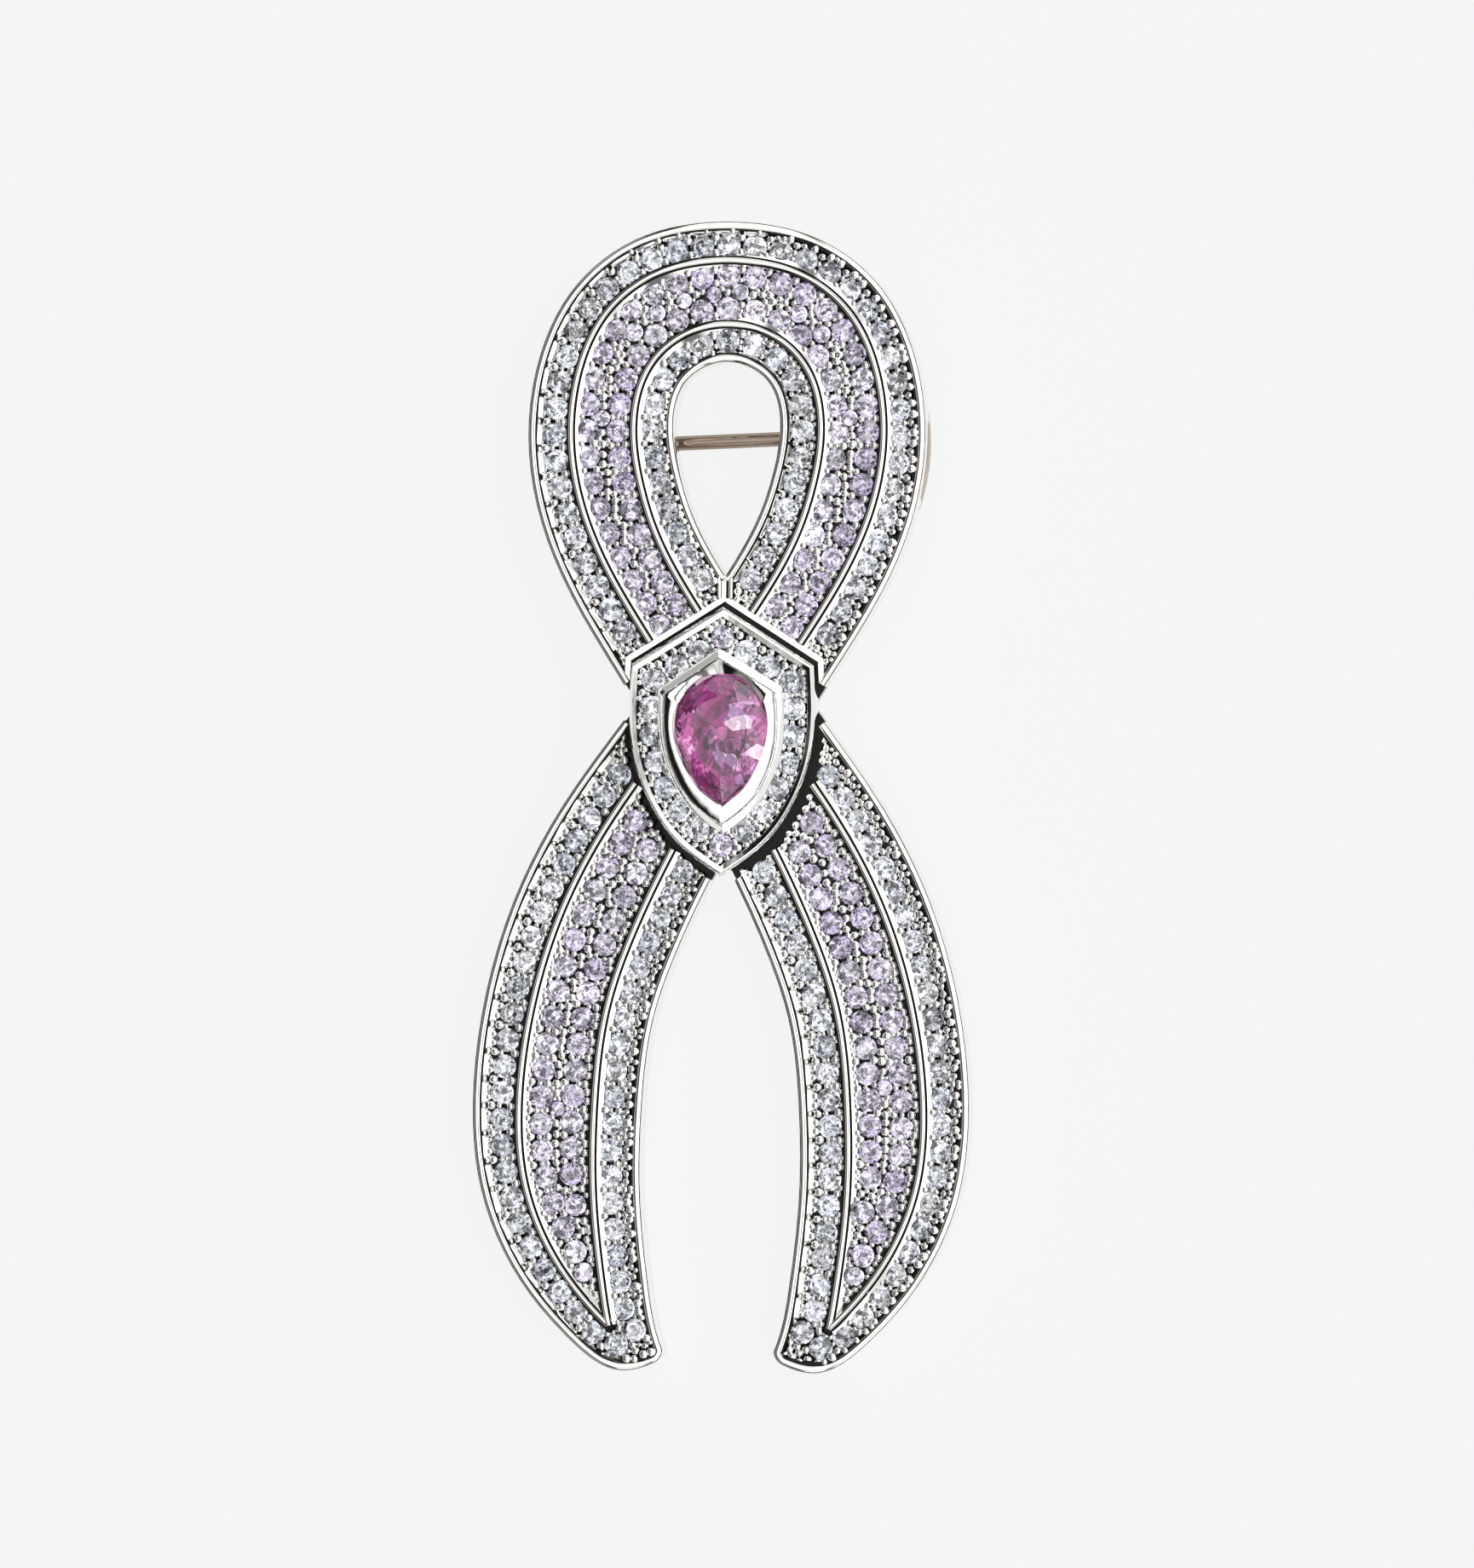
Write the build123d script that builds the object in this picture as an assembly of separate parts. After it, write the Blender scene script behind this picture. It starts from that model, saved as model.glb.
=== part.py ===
from build123d import *
import math
import os

# Ribbon brooch, in millimetres. It is drawn flat: the face towards +Z, the ribbon's back in the plane
# Z = 0, the loop towards +Y and the origin under the middle of the shield. The last step lays it on its
# back, where it leans on the hinge, the catch and the two tail tips.

# Ribbon outline
loop_width = 20.3
loop_height = 26.4
hole_width = 5.5
hole_top = 19.3
hole_bottom = 8.35
tail_spread = 25.35
tail_length = 32.05
tail_gap = 8.2

# Ribbon section
ribbon_thickness = 2.0
rim_width = 0.45
ridge_width = 0.36
channel_depth = 0.45
web_width = 0.7

# Small stones
stone_diameter = 1.1
stone_pitch = 1.35
stone_spacing = 0.12
stone_facets = 8
stone_table = 0.58
stone_crown = 0.17
stone_girdle = 0.04
stone_pavilion = 0.45
seat_clearance = 0.05
girdle_lift = 0.1

# Shield and pear
shield_width = 9.46
shield_top = 6.83
shield_bottom = 6.87
shield_gap = 0.4
shield_rim = 0.33
shield_height = 2.1
bezel_width = 5.8
bezel_length = 8.44
bezel_rise = 0.5
shield_stones = 20
pear_width = 5.0
pear_length = 7.0
pear_facets = 16
pear_table = 0.62
pear_crown = 0.75
pear_girdle = 0.12
pear_pavilion = 2.0
pear_sink = 0.25
post_diameter = 0.9
post_spacing = 6.0
crossing_thickness = 1.0
fit_gap = 0.05

# Pin, hinge and catch
pin_height = 15.38
pin_turn = 2.75
pin_diameter = 0.75
pin_drop = 1.75
pin_root_diameter = 1.0
pin_root_length = 1.25
pin_wire_end = 14.7
pin_taper_diameter = 0.66
pin_taper_length = 1.1
pin_point_diameter = 0.12
pin_point_length = 1.0
rest_drop = 2.55
hinge_side = 7.7
knuckle_diameter = 1.25
knuckle_width = 1.2
rivet_diameter = 0.5
rivet_head = 0.9
rivet_head_height = 0.2
ear_length = 1.8
ear_thickness = 0.6
plate_thickness = 0.5
catch_side = 7.7
catch_length = 1.0
cheek_thickness = 0.65
moving_gap = 0.1
catch_plate_length = 5.0
catch_plate_width = 3.4
catch_plate_overhang = 0.12
catch_plate_shift = 1.0
edge_overlap = 0.02

# The ribbon's first edge runs from the loop's top down its side, crosses under the shield and becomes the
# inner edge of the other tail.
# Columns: x as a share of half the loop width, y as a share of the loop height.
FIRST_EDGE_LOOP = [
    (0.0, 1.0),
    (0.431, 0.971),
    (0.776, 0.871),
    (0.966, 0.708),
    (0.999, 0.59),
    (0.948, 0.444),
    (0.777, 0.28),
    (0.572, 0.148),
]
# Columns: x as a share of half the gap between the tails, y as a share of the tail length.
FIRST_EDGE_TAIL = [
    (-0.268, 0.25),
    (-0.59, 0.343),
    (-0.837, 0.437),
    (-0.98, 0.577),
    (-0.995, 0.718),
    (-0.888, 0.858),
    (-0.695, 0.967),
]
# The second edge runs round half the hole, crosses and becomes the outer edge of the other tail.
# Columns: x as a share of half the hole width, y as a share of the way from the hole's bottom to its top.
SECOND_EDGE_HOLE = [
    (0.0, 1.0),
    (0.76, 0.91),
    (1.0, 0.71),
    (0.86, 0.468),
    (0.66, 0.31),
    (0.0, 0.0),
]
# Columns: x as a share of half the tail spread, y as a share of the tail length.
SECOND_EDGE_TAIL = [
    (-0.405, -0.031),
    (-0.654, 0.109),
    (-0.835, 0.25),
    (-0.967, 0.437),
    (-1.0, 0.577),
    (-0.962, 0.718),
    (-0.804, 0.858),
    (-0.6, 0.952),
    (-0.39, 1.0),
    (-0.262, 0.988),
]
# Right half of the shield's outline, and of the bezel's, which has the same form. The first two are corners.
# Columns: x as a share of half the width, y as a share of the height above or below the middle.
SHIELD_CORNERS = [(0.0, 1.0), (0.98, 0.57)]
SHIELD_CURVE = [(1.0, 0.19), (0.945, -0.14), (0.79, -0.437), (0.5, -0.735), (0.0, -1.0)]
# Right half of the pear's girdle. Columns: x as a share of half the width, y as a share of half the length.
PEAR_CURVE = [
    (0.0, 1.0),
    (0.55, 0.88),
    (0.89, 0.62),
    (1.0, 0.3),
    (0.93, -0.08),
    (0.7, -0.46),
    (0.37, -0.78),
    (0.0, -1.0),
]

# Distances of the ridges from their ribbon edge, at the start, the middle and the end of each stretch
LOOP_OUTER_BORDER = (1.93, 2.16, 2.28)
LOOP_INNER_BORDER = (1.9, 2.1, 2.08)
TAIL_OUTER_BORDER = (2.2, 2.4, 1.66)
TAIL_INNER_BORDER = (2.43, 2.45, 2.3)
# Where those stretches end under the shield, as shares of its width from the middle line to the right
FIRST_LOOP_END = 0.27
SECOND_LOOP_END = -0.2
FIRST_TAIL_START = 0.05
SECOND_TAIL_START = -0.27
# Places of the stone rows: a border row as a share of its border's width, a centre row as a distance
# past its ridge
OUTER_ROW_SHARE = 0.62
INNER_ROW_SHARE = 0.55
LOOP_CENTRE_ROW = 0.8
TAIL_CENTRE_ROW = 1.12

# The rows of stones. Columns: the border whose edge the row follows, the share of the border's width
# at which it runs (1 is the ridge), and the distance past that.
ROWS = {
    "loop_outer": ("loop_outer", OUTER_ROW_SHARE, 0),
    "loop_inner": ("loop_inner", INNER_ROW_SHARE, 0),
    "loop_centre_far": ("loop_outer", 1, LOOP_CENTRE_ROW),
    "loop_centre_near": ("loop_inner", 1, LOOP_CENTRE_ROW),
    "tail_outer": ("tail_outer", OUTER_ROW_SHARE, 0),
    "tail_inner": ("tail_inner", OUTER_ROW_SHARE, 0),
    "tail_centre_far": ("tail_outer", 1, TAIL_CENTRE_ROW),
    "tail_centre_near": ("tail_inner", 1, TAIL_CENTRE_ROW),
}
# Where a tail's rows end, seats and all: at the line with these columns, as above.
ROW_ENDS = {
    "tail_outer": ("tail_inner", 0, rim_width + seat_clearance),
    "tail_inner": ("tail_outer", OUTER_ROW_SHARE, stone_diameter / 2 + seat_clearance),
    "tail_centre_far": ("tail_inner", 1, TAIL_CENTRE_ROW),
    "tail_centre_near": ("tail_outer", 1, TAIL_CENTRE_ROW),
}

# The rows whose stones are set here: the tails' centre rows have their seats only.
SET_ROWS = [name for name in ROWS if not name.startswith("tail_centre")]

# Values that follow from those above
stone_radius = stone_diameter / 2
floor_level = ribbon_thickness - channel_depth
seat_width = stone_diameter - 2 * seat_clearance
seat_depth = stone_pavilion - girdle_lift + seat_clearance
girdle_level = floor_level + girdle_lift
shield_base = crossing_thickness + fit_gap
shield_rim_level = shield_base + shield_height
bezel_level = shield_rim_level + bezel_rise
pear_girdle_level = bezel_level - pear_sink
shield_floor_level = shield_rim_level - channel_depth
shield_row_growth = (shield_width / 2 - shield_rim + bezel_width / 2) / 2 - shield_width / 2
rest_angle = math.degrees(math.atan2(rest_drop, pin_height + tail_length))
ear_inner = knuckle_width / 2 + moving_gap
ear_outer = ear_inner + ear_thickness
hinge_place = Pos(-hinge_side, 0, -pin_drop)


def mirrored(shape):
    """The other half: a copy reflected from right to left."""
    return shape.mirror(Plane.YZ)


def smooth(points, start=None, end=None):
    """A smooth curve through points, with its directions at both ends where they are given."""
    places = [Vector(*point) for point in points]
    if start is None:
        return Edge.make_spline(places)
    ends = [Vector(*start).normalized(), Vector(*end).normalized()]
    return Edge.make_spline(places, tangents=ends, scale=False)


def ribbon_edges():
    """The two long edges of the half ribbon, from the loop's top to the left tail's tip."""
    first = [(x * loop_width / 2, y * loop_height) for x, y in FIRST_EDGE_LOOP]
    first += [(x * tail_gap / 2, -y * tail_length) for x, y in FIRST_EDGE_TAIL]
    hole_length = hole_top - hole_bottom
    second = [(x * hole_width / 2, hole_bottom + y * hole_length) for x, y in SECOND_EDGE_HOLE]
    second += [(x * tail_spread / 2, -y * tail_length) for x, y in SECOND_EDGE_TAIL]
    return smooth(first, (1, 0), (0.42, -1)), smooth(second, (1, 0), (1, 0.45))


def share_at_x(edge, x, low=0.25, high=0.6):
    """The share of an edge at which it passes x on its way over the crossing, from right to left."""
    for _ in range(30):
        middle = (low + high) / 2
        if (edge @ middle).X > x:
            low = middle
        else:
            high = middle
    return low


def blend(values, share):
    """A value between the start, middle and end values, on the parabola through them."""
    start, middle, end = values
    return (
        start * (1 - share) * (1 - 2 * share)
        + middle * 4 * share * (1 - share)
        + end * share * (2 * share - 1)
    )


def changed(distances, scale=1.0, add=0.0):
    """Distances scaled and moved by a fixed amount."""
    return tuple(d * scale + add for d in distances)


def inset(edge, side, stretch, distances, points=14):
    """A curve beside an edge, on its left (side 1) or right (-1), between a stretch's two shares."""
    start, end = stretch
    places = []
    for i in range(points + 1):
        share = i / points
        place = start + (end - start) * share
        along = (edge % place).normalized()
        across = Vector(-along.Y, along.X) * side
        places.append(edge @ place + across * blend(distances, share))
    return Edge.make_spline(places)


def cut_at_meeting(curve, other, samples=150):
    """A curve, ended where it comes nearest to another."""
    places = [i / samples for i in range(1, samples + 1)]
    others = [other @ place for place in places]

    def distance(place):
        point = curve @ place
        return min((point - another).length for another in others)

    nearest = min(places, key=distance)
    return curve if nearest == 1 else curve.trim(0, nearest)


def strip(near, far):
    """The flat face between two curves that run the same way."""
    return Face(Wire([near, Edge.make_line(near @ 1, far @ 1), far, Edge.make_line(far @ 0, near @ 0)]))


def plate(face, low, high):
    """A solid of a flat face, from one level to another."""
    return extrude(Pos(0, 0, low) * face, high - low, dir=(0, 0, 1))


def half_outline(first, second):
    """The flat face of the half ribbon, with a round tip."""
    tip = Edge.make_tangent_arc(second @ 1, second % 1, first @ 1)
    return Face(Wire([first, tip, second, Edge.make_line(first @ 0, second @ 0)]))


def shield_outline(width, top, bottom):
    """The flat face of a shield: two straight shoulders and two curved sides that meet in a point."""
    corners = [(x * width / 2, y * top) for x, y in SHIELD_CORNERS]
    curve = [(x * width / 2, y * (top if y > 0 else bottom)) for x, y in SHIELD_CURVE]
    right = [Edge.make_line(*corners), smooth([corners[1]] + curve)]
    left = [mirrored(edge) for edge in right]
    return Face(Wire(right + left))


def pear_outline(width, length, count):
    """Points round a pear's girdle, evenly spaced, from its round end to its point and back."""
    side = smooth([(x * width / 2, y * length / 2) for x, y in PEAR_CURVE], (1, 0), (-0.75, -1))
    half = count // 2
    right = [side @ (i / half) for i in range(half + 1)]
    left = [Vector(-point.X, point.Y) for point in right[-2:0:-1]]
    return right + left


def cut_stone(outline, table_share, crown, girdle, pavilion):
    """A faceted stone over a flat outline: its table, crown facets, girdle and pavilion facets."""
    base = [Vector(point.X, point.Y, 0) for point in outline]
    rim = [Vector(point.X, point.Y, girdle) for point in outline]
    table = [Vector(point.X * table_share, point.Y * table_share, girdle + crown) for point in outline]
    culet = Vector(0, 0, -pavilion)
    faces = [Face(Wire.make_polygon(table))]
    for i in range(len(outline)):
        j = (i + 1) % len(outline)
        faces.append(Face(Wire.make_polygon([table[i], table[j], rim[j], rim[i]])))
        faces.append(Face(Wire.make_polygon([rim[i], rim[j], base[j], base[i]])))
        faces.append(Face(Wire.make_polygon([base[i], base[j], culet])))
    return Solid(Shell(faces))


def small_stone():
    """One round stone, its girdle's lower edge in the plane Z = 0."""
    angles = [2 * math.pi * i / stone_facets for i in range(stone_facets)]
    outline = [Vector(stone_radius * math.cos(a), stone_radius * math.sin(a)) for a in angles]
    return cut_stone(outline, stone_table, stone_crown, stone_girdle, stone_pavilion)


class Ribbon:
    """The flat curves of the half ribbon, from which its body and its rows of stones are made."""

    def __init__(self):
        self.first, self.second = ribbon_edges()
        first, second = self.first, self.second
        self.loop = (
            (0, share_at_x(first, shield_width * FIRST_LOOP_END)),
            (0, share_at_x(second, shield_width * SECOND_LOOP_END, 0.2, 0.5)),
        )
        self.tail = (
            (share_at_x(first, shield_width * FIRST_TAIL_START), 1),
            (share_at_x(second, shield_width * SECOND_TAIL_START, 0.2, 0.5), 1),
        )
        self.stretches = {
            "loop_outer": (first, -1, self.loop[0], LOOP_OUTER_BORDER),
            "loop_inner": (second, 1, self.loop[1], LOOP_INNER_BORDER),
            "tail_outer": (second, 1, self.tail[1], TAIL_OUTER_BORDER),
            "tail_inner": (first, -1, self.tail[0], TAIL_INNER_BORDER),
        }

    def beside(self, border, scale=1.0, add=0.0, fixed=None):
        """A curve in a border: its ridge line, scaled or moved, or a line at a fixed distance."""
        edge, side, stretch, distances = self.stretches[border]
        if fixed is not None:
            return inset(edge, side, stretch, (fixed, fixed, fixed))
        return inset(edge, side, stretch, changed(distances, scale, add))

    def row(self, name, move=0.0):
        """The line of a row of stones, or a line beside it, ended where the row ends."""
        border, scale, add = ROWS[name]
        line = self.beside(border, scale, add + move)
        return cut_at_meeting(line, self.beside(*ROW_ENDS[name])) if name in ROW_ENDS else line

    def field(self, outer, inner, closed_tip):
        """The flat faces of the three stone channels between two borders' edges: all but rims and ridges."""
        half = ridge_width / 2
        face = strip(self.beside(outer, fixed=rim_width), self.beside(inner, fixed=rim_width))
        for border, other in ((outer, inner), (inner, outer)):
            near = self.beside(border, add=-half)
            far = self.beside(border, add=half)
            if closed_tip:
                middle = self.beside(other)
                near = cut_at_meeting(near, middle)
                far = cut_at_meeting(far, middle)
            face = face - strip(near, far)
        return face

    def loop_only(self, face):
        """A face of the loop without the part past the web between the hole and the shield."""
        side = 2 * tail_length
        past = Pos((web_width - side) / 2, hole_top - rim_width - side / 2) * Rectangle(side, side)
        return face - past

    def channels(self):
        """The flat faces of the half ribbon's stone channels."""
        return self.loop_only(self.field("loop_outer", "loop_inner", False)) + self.field(
            "tail_outer", "tail_inner", True
        )

    def seats(self):
        """The flat faces of the half ribbon's seats, grooves under the rows of stones."""
        half = seat_width / 2
        grooves = [(name, strip(self.row(name, -half), self.row(name, half))) for name in ROWS]
        faces = [self.loop_only(groove) if name.startswith("loop") else groove for name, groove in grooves]
        return sum(faces[1:], faces[0])


def pin_frame():
    """The pin's own frame: X along the stem towards the catch, Y along the rivet, at the ribbon's back."""
    return Pos(0, pin_height, 0) * Rot(0, 0, pin_turn)


def block(low, high):
    """A box between two corners."""
    size = [b - a for a, b in zip(low, high)]
    return Pos(*low) * Box(*size, align=(Align.MIN, Align.MIN, Align.MIN))


def rod(diameter, start, end, axis):
    """A round rod along X or Y, from one place on that axis to another."""
    turn = Rot(0, 90, 0) if axis == "X" else Rot(-90, 0, 0)
    shift = Pos(start, 0, 0) if axis == "X" else Pos(0, start, 0)
    return shift * turn * Cylinder(diameter / 2, end - start, align=(Align.CENTER, Align.CENTER, Align.MIN))


def taper(first_diameter, last_diameter, start, length):
    """A round rod along X whose diameter changes evenly."""
    cone = Cone(first_diameter / 2, last_diameter / 2, length, align=(Align.CENTER, Align.CENTER, Align.MIN))
    return Pos(start, 0, 0) * Rot(0, 90, 0) * cone


def below_rest():
    """Everything below the plane that the brooch lies on."""
    side = 4 * tail_length
    return Pos(0, -tail_length, 0) * Rot(-rest_angle, 0, 0) * Pos(0, 0, -side / 2) * Box(side, side, side)


def hinge_fixed():
    """The hinge's plate and its two ears, bored for the rivet."""
    low = -2 * rest_drop
    left = -hinge_side - ear_length / 2
    right = -hinge_side + ear_length / 2
    parts = block((left, -ear_outer, -plate_thickness), (right, ear_outer, 0))
    for side in (-1, 1):
        ends = sorted((side * ear_inner, side * ear_outer))
        parts += block((left, ends[0], low), (right, ends[1], 0))
    bore = hinge_place * rod(rivet_diameter + 2 * fit_gap, -2 * ear_outer, 2 * ear_outer, "Y")
    return pin_frame() * (parts - bore) - below_rest()


def catch_fixed(ribbon):
    """The plain catch: a plate that follows the loop's edge, and two cheeks that the stem snaps between."""
    low = -2 * rest_drop
    slot = pin_diameter / 2 + moving_gap
    outer = slot + cheek_thickness
    parts = block(
        (catch_side - catch_length / 2, -outer, low),
        (catch_side + catch_length / 2, outer, 0),
    )
    parts -= block(
        (catch_side - catch_length, -slot, low),
        (catch_side + catch_length, slot, -pin_drop + slot),
    )
    return pin_frame() * parts - below_rest() + catch_plate(ribbon)


def catch_plate(ribbon):
    """The catch's base, seen just past the loop's side."""
    edge = ribbon.first
    middle = pin_height - catch_plate_shift
    ends = [share_at_y(edge, middle + side * catch_plate_length / 2) for side in (1, -1)]
    overhang = -catch_plate_overhang
    inner = catch_plate_width
    face = strip(
        inset(edge, -1, ends, (-edge_overlap, overhang, -edge_overlap)),
        inset(edge, -1, ends, (inner, inner, inner)),
    )
    return plate(face, -plate_thickness, 0)


def share_at_y(edge, y, low=0.1, high=0.5):
    """The share of an edge at which it passes y on its way down the loop's side."""
    for _ in range(30):
        middle = (low + high) / 2
        if (edge @ middle).Y > y:
            low = middle
        else:
            high = middle
    return low


def pin_stem():
    """The pin: a bored knuckle and a round wire, thicker at its root, that tapers in the catch to a point."""
    knuckle = rod(knuckle_diameter, -knuckle_width / 2, knuckle_width / 2, "Y")
    bore = rod(rivet_diameter + 2 * fit_gap, -knuckle_width, knuckle_width, "Y")
    root = taper(pin_root_diameter, pin_diameter, 0, pin_root_length)
    wire = rod(pin_diameter, pin_root_length, pin_wire_end, "X")
    point_start = pin_wire_end + pin_taper_length
    end = taper(pin_diameter, pin_taper_diameter, pin_wire_end, pin_taper_length)
    point = taper(pin_taper_diameter, pin_point_diameter, point_start, pin_point_length)
    return pin_frame() * hinge_place * (knuckle + root + wire + end + point - bore)


def hinge_rivet():
    """The rivet through the ears and the knuckle, with a head at each end."""
    end = ear_outer + fit_gap
    rivet = rod(rivet_diameter, -end, end, "Y")
    rivet += rod(rivet_head, end, end + rivet_head_height, "Y")
    rivet += rod(rivet_head, -end - rivet_head_height, -end, "Y")
    return pin_frame() * hinge_place * rivet


def shield_line(growth):
    """The shield's outline grown or shrunk about its middle, by a distance measured at its sides."""
    scale = 1 + 2 * growth / shield_width
    return shield_outline(shield_width * scale, shield_top * scale, shield_bottom * scale)


def posts(diameter, low, high):
    """The two posts that hold the shield, or their holes."""
    column = Cylinder(diameter / 2, high - low, align=(Align.CENTER, Align.CENTER, Align.MIN))
    return [Pos(0, side * post_spacing / 2, low) * column for side in (-1, 1)]


def ribbon_body(ribbon):
    """The ribbon with its channels and seats, the shield's pocket, and the soldered hinge and catch."""
    top = ribbon_thickness + 1
    half = half_outline(ribbon.first, ribbon.second)
    body = plate(half + mirrored(half), 0, ribbon_thickness)
    for cut, level in ((ribbon.channels(), floor_level), (ribbon.seats(), floor_level - seat_depth)):
        body -= plate(cut + mirrored(cut), level, top)
    body -= plate(shield_line(shield_gap), crossing_thickness, top)
    for hole in posts(post_diameter + 2 * fit_gap, -1, top):
        body -= hole
    return body + hinge_fixed() + catch_fixed(ribbon)


def pear_seat():
    """The pear's seat: the stone's own form, a clearance larger, open upwards."""
    outline = pear_outline(pear_width + 2 * seat_clearance, pear_length + 2 * seat_clearance, pear_facets)
    pavilion = pear_pavilion + 2 * seat_clearance
    room = cut_stone(outline, 1.0, pear_crown + bezel_rise, pear_girdle, pavilion)
    return Pos(0, 0, pear_girdle_level - seat_clearance / 2) * room


def pear_stone():
    """The pear-cut stone in its seat."""
    outline = pear_outline(pear_width, pear_length, pear_facets)
    stone = cut_stone(outline, pear_table, pear_crown, pear_girdle, pear_pavilion)
    return Pos(0, 0, pear_girdle_level) * stone


def shield_setting():
    """The shield: its rim, the channel of its stones, the bezel of the pear and two posts."""
    body = plate(shield_line(0), shield_base, shield_rim_level)
    body -= plate(shield_line(-shield_rim), shield_floor_level, bezel_level)
    seats = shield_line(shield_row_growth + seat_width / 2) - shield_line(shield_row_growth - seat_width / 2)
    body -= plate(seats, shield_floor_level - seat_depth, bezel_level)
    bezel = shield_outline(bezel_width, bezel_length / 2, bezel_length / 2)
    body += plate(bezel, shield_base, bezel_level)
    body -= pear_seat()
    for post in posts(post_diameter, fit_gap, shield_base):
        body += post
    return body


def place_on(line, distance):
    """A place on a line, a distance along it: (x, y, angle)."""
    point = line.position_at(distance, PositionMode.LENGTH)
    along = line.tangent_at(distance, PositionMode.LENGTH)
    return point.X, point.Y, math.degrees(math.atan2(along.Y, along.X))


def row_places(row, end_gap):
    """The places of the stones along a row, the first at its start and the last a gap before its end."""
    return [place_on(row, i * stone_pitch) for i in range(int((row.length - end_gap) / stone_pitch) + 1)]


def other_side(places):
    """Places reflected from one side to the other, without any on the middle line."""
    return [(-x, y, 180 - angle) for x, y, angle in places if abs(x) > stone_radius]


def free_places(places, taken, keep_out):
    """The places whose stones stay off the keep-out face and clear of the stones already placed."""
    kept = []
    for x, y, angle in places:
        spaced = all(math.hypot(x - a, y - b) > stone_diameter + stone_spacing for a, b, _ in taken + kept)
        if spaced and not keep_out.is_inside(Vector(x, y, 0)):
            kept.append((x, y, angle))
    return kept


def stone_places(ribbon):
    """The places of all the stone fields by node name."""
    keep_out = shield_line(stone_radius + stone_spacing)
    half = {}
    for name in SET_ROWS:
        taken = [place for places in half.values() for place in places]
        places = row_places(ribbon.row(name), stone_radius)
        if name.startswith("loop"):
            clear = web_width / 2 + stone_radius
            places = [place for place in places if place[0] > clear or place[1] > hole_top]
        half[name] = free_places(places, taken, keep_out)
    loop_centre = half["loop_centre_far"] + half["loop_centre_near"]
    return {
        "loop_outer_stones": half["loop_outer"] + other_side(half["loop_outer"]),
        "loop_inner_stones": half["loop_inner"] + other_side(half["loop_inner"]),
        "loop_centre_stones": loop_centre + other_side(loop_centre),
        "left_tail_outer_stones": half["tail_outer"],
        "left_tail_inner_stones": half["tail_inner"],
        "right_tail_outer_stones": other_side(half["tail_outer"]),
        "right_tail_inner_stones": other_side(half["tail_inner"]),
    }


def shield_places():
    """The places of the stones round the bezel, evenly spaced from the shield's upper point."""
    row = shield_line(shield_row_growth).outer_wire()
    return [place_on(row, row.length * i / shield_stones) for i in range(shield_stones)]


def set_stones(places, level):
    """Small stones at places, their girdles at a level."""
    stone = small_stone()
    return [stone.moved(Location((x, y, level), (0, 0, angle))) for x, y, angle in places]


def laid_down(nodes):
    """The nodes turned to lie on the hinge, the catch and the tail tips, on the plane Z = 0."""
    turned = {name: [Rot(rest_angle, 0, 0) * solid for solid in solids] for name, solids in nodes.items()}
    box = turned["ribbon_body"][0].bounding_box()
    shift = Pos(-box.center().X, -box.center().Y, tail_length * math.sin(math.radians(rest_angle)))
    return {name: [shift * solid for solid in solids] for name, solids in turned.items()}


def main():
    ribbon = Ribbon()
    nodes = {
        "ribbon_body": ribbon_body(ribbon).solids(),
        "shield_setting": shield_setting().solids(),
        "pear_stone": [pear_stone()],
        "pin_stem": pin_stem().solids(),
        "hinge_rivet": hinge_rivet().solids(),
        "shield_stones": set_stones(shield_places(), shield_floor_level + girdle_lift),
    }
    for name, places in stone_places(ribbon).items():
        nodes[name] = set_stones(places, girdle_level)
    os.makedirs("parts", exist_ok=True)
    for name, solids in laid_down(nodes).items():
        print(name, len(solids), round(sum(solid.volume for solid in solids), 2))
        export_step(Compound(solids), f"parts/{name}.step")


main()
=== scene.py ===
import math
import random

import bmesh
import bpy
import numpy as np
from mathutils import Matrix, Vector
from mathutils.bvhtree import BVHTree
from mathutils.kdtree import KDTree


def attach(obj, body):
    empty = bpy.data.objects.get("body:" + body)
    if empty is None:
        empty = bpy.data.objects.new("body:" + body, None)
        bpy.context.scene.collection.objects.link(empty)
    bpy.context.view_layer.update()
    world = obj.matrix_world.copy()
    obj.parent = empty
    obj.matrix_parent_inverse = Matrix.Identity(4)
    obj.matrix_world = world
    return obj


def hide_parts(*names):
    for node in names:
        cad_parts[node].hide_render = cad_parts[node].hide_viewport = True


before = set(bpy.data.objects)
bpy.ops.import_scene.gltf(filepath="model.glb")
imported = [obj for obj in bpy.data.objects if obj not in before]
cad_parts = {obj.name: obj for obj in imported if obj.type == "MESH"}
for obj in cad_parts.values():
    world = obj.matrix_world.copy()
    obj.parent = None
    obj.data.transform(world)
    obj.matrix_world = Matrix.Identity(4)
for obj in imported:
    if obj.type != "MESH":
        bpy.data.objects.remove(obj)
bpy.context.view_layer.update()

random.seed(7)

# The brooch is drawn flat in millimetres, its face towards +Z and the origin under the shield's middle.
# LAID then lays a flat piece on its back, in metres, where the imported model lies.
loop_width = 20.3
loop_height = 26.4
hole_width = 5.5
hole_top = 19.3
hole_bottom = 8.35
tail_spread = 25.35
tail_length = 32.05
tail_gap = 8.2
ribbon_thickness = 2.0
floor_level = 1.55
girdle_level = 1.65
stone_radius = 0.55
shown_radius = 0.6
stone_pitch = 1.35
stone_gap = 0.12
stone_depth = 0.45
shown_depth = 0.46
stone_clearance = 0.02
ridge_room = 0.36
middle_half_width = 0.7
most_tip = 0.07
shield_width = 9.46
shield_top = 6.83
shield_bottom = 6.87
shield_gap = 0.4
shield_base = 1.05
shield_floor = 2.7
bezel_width = 5.8
bezel_length = 8.44
pear_width = 5.0
pear_length = 7.0
pear_girdle_level = 3.4
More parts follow.
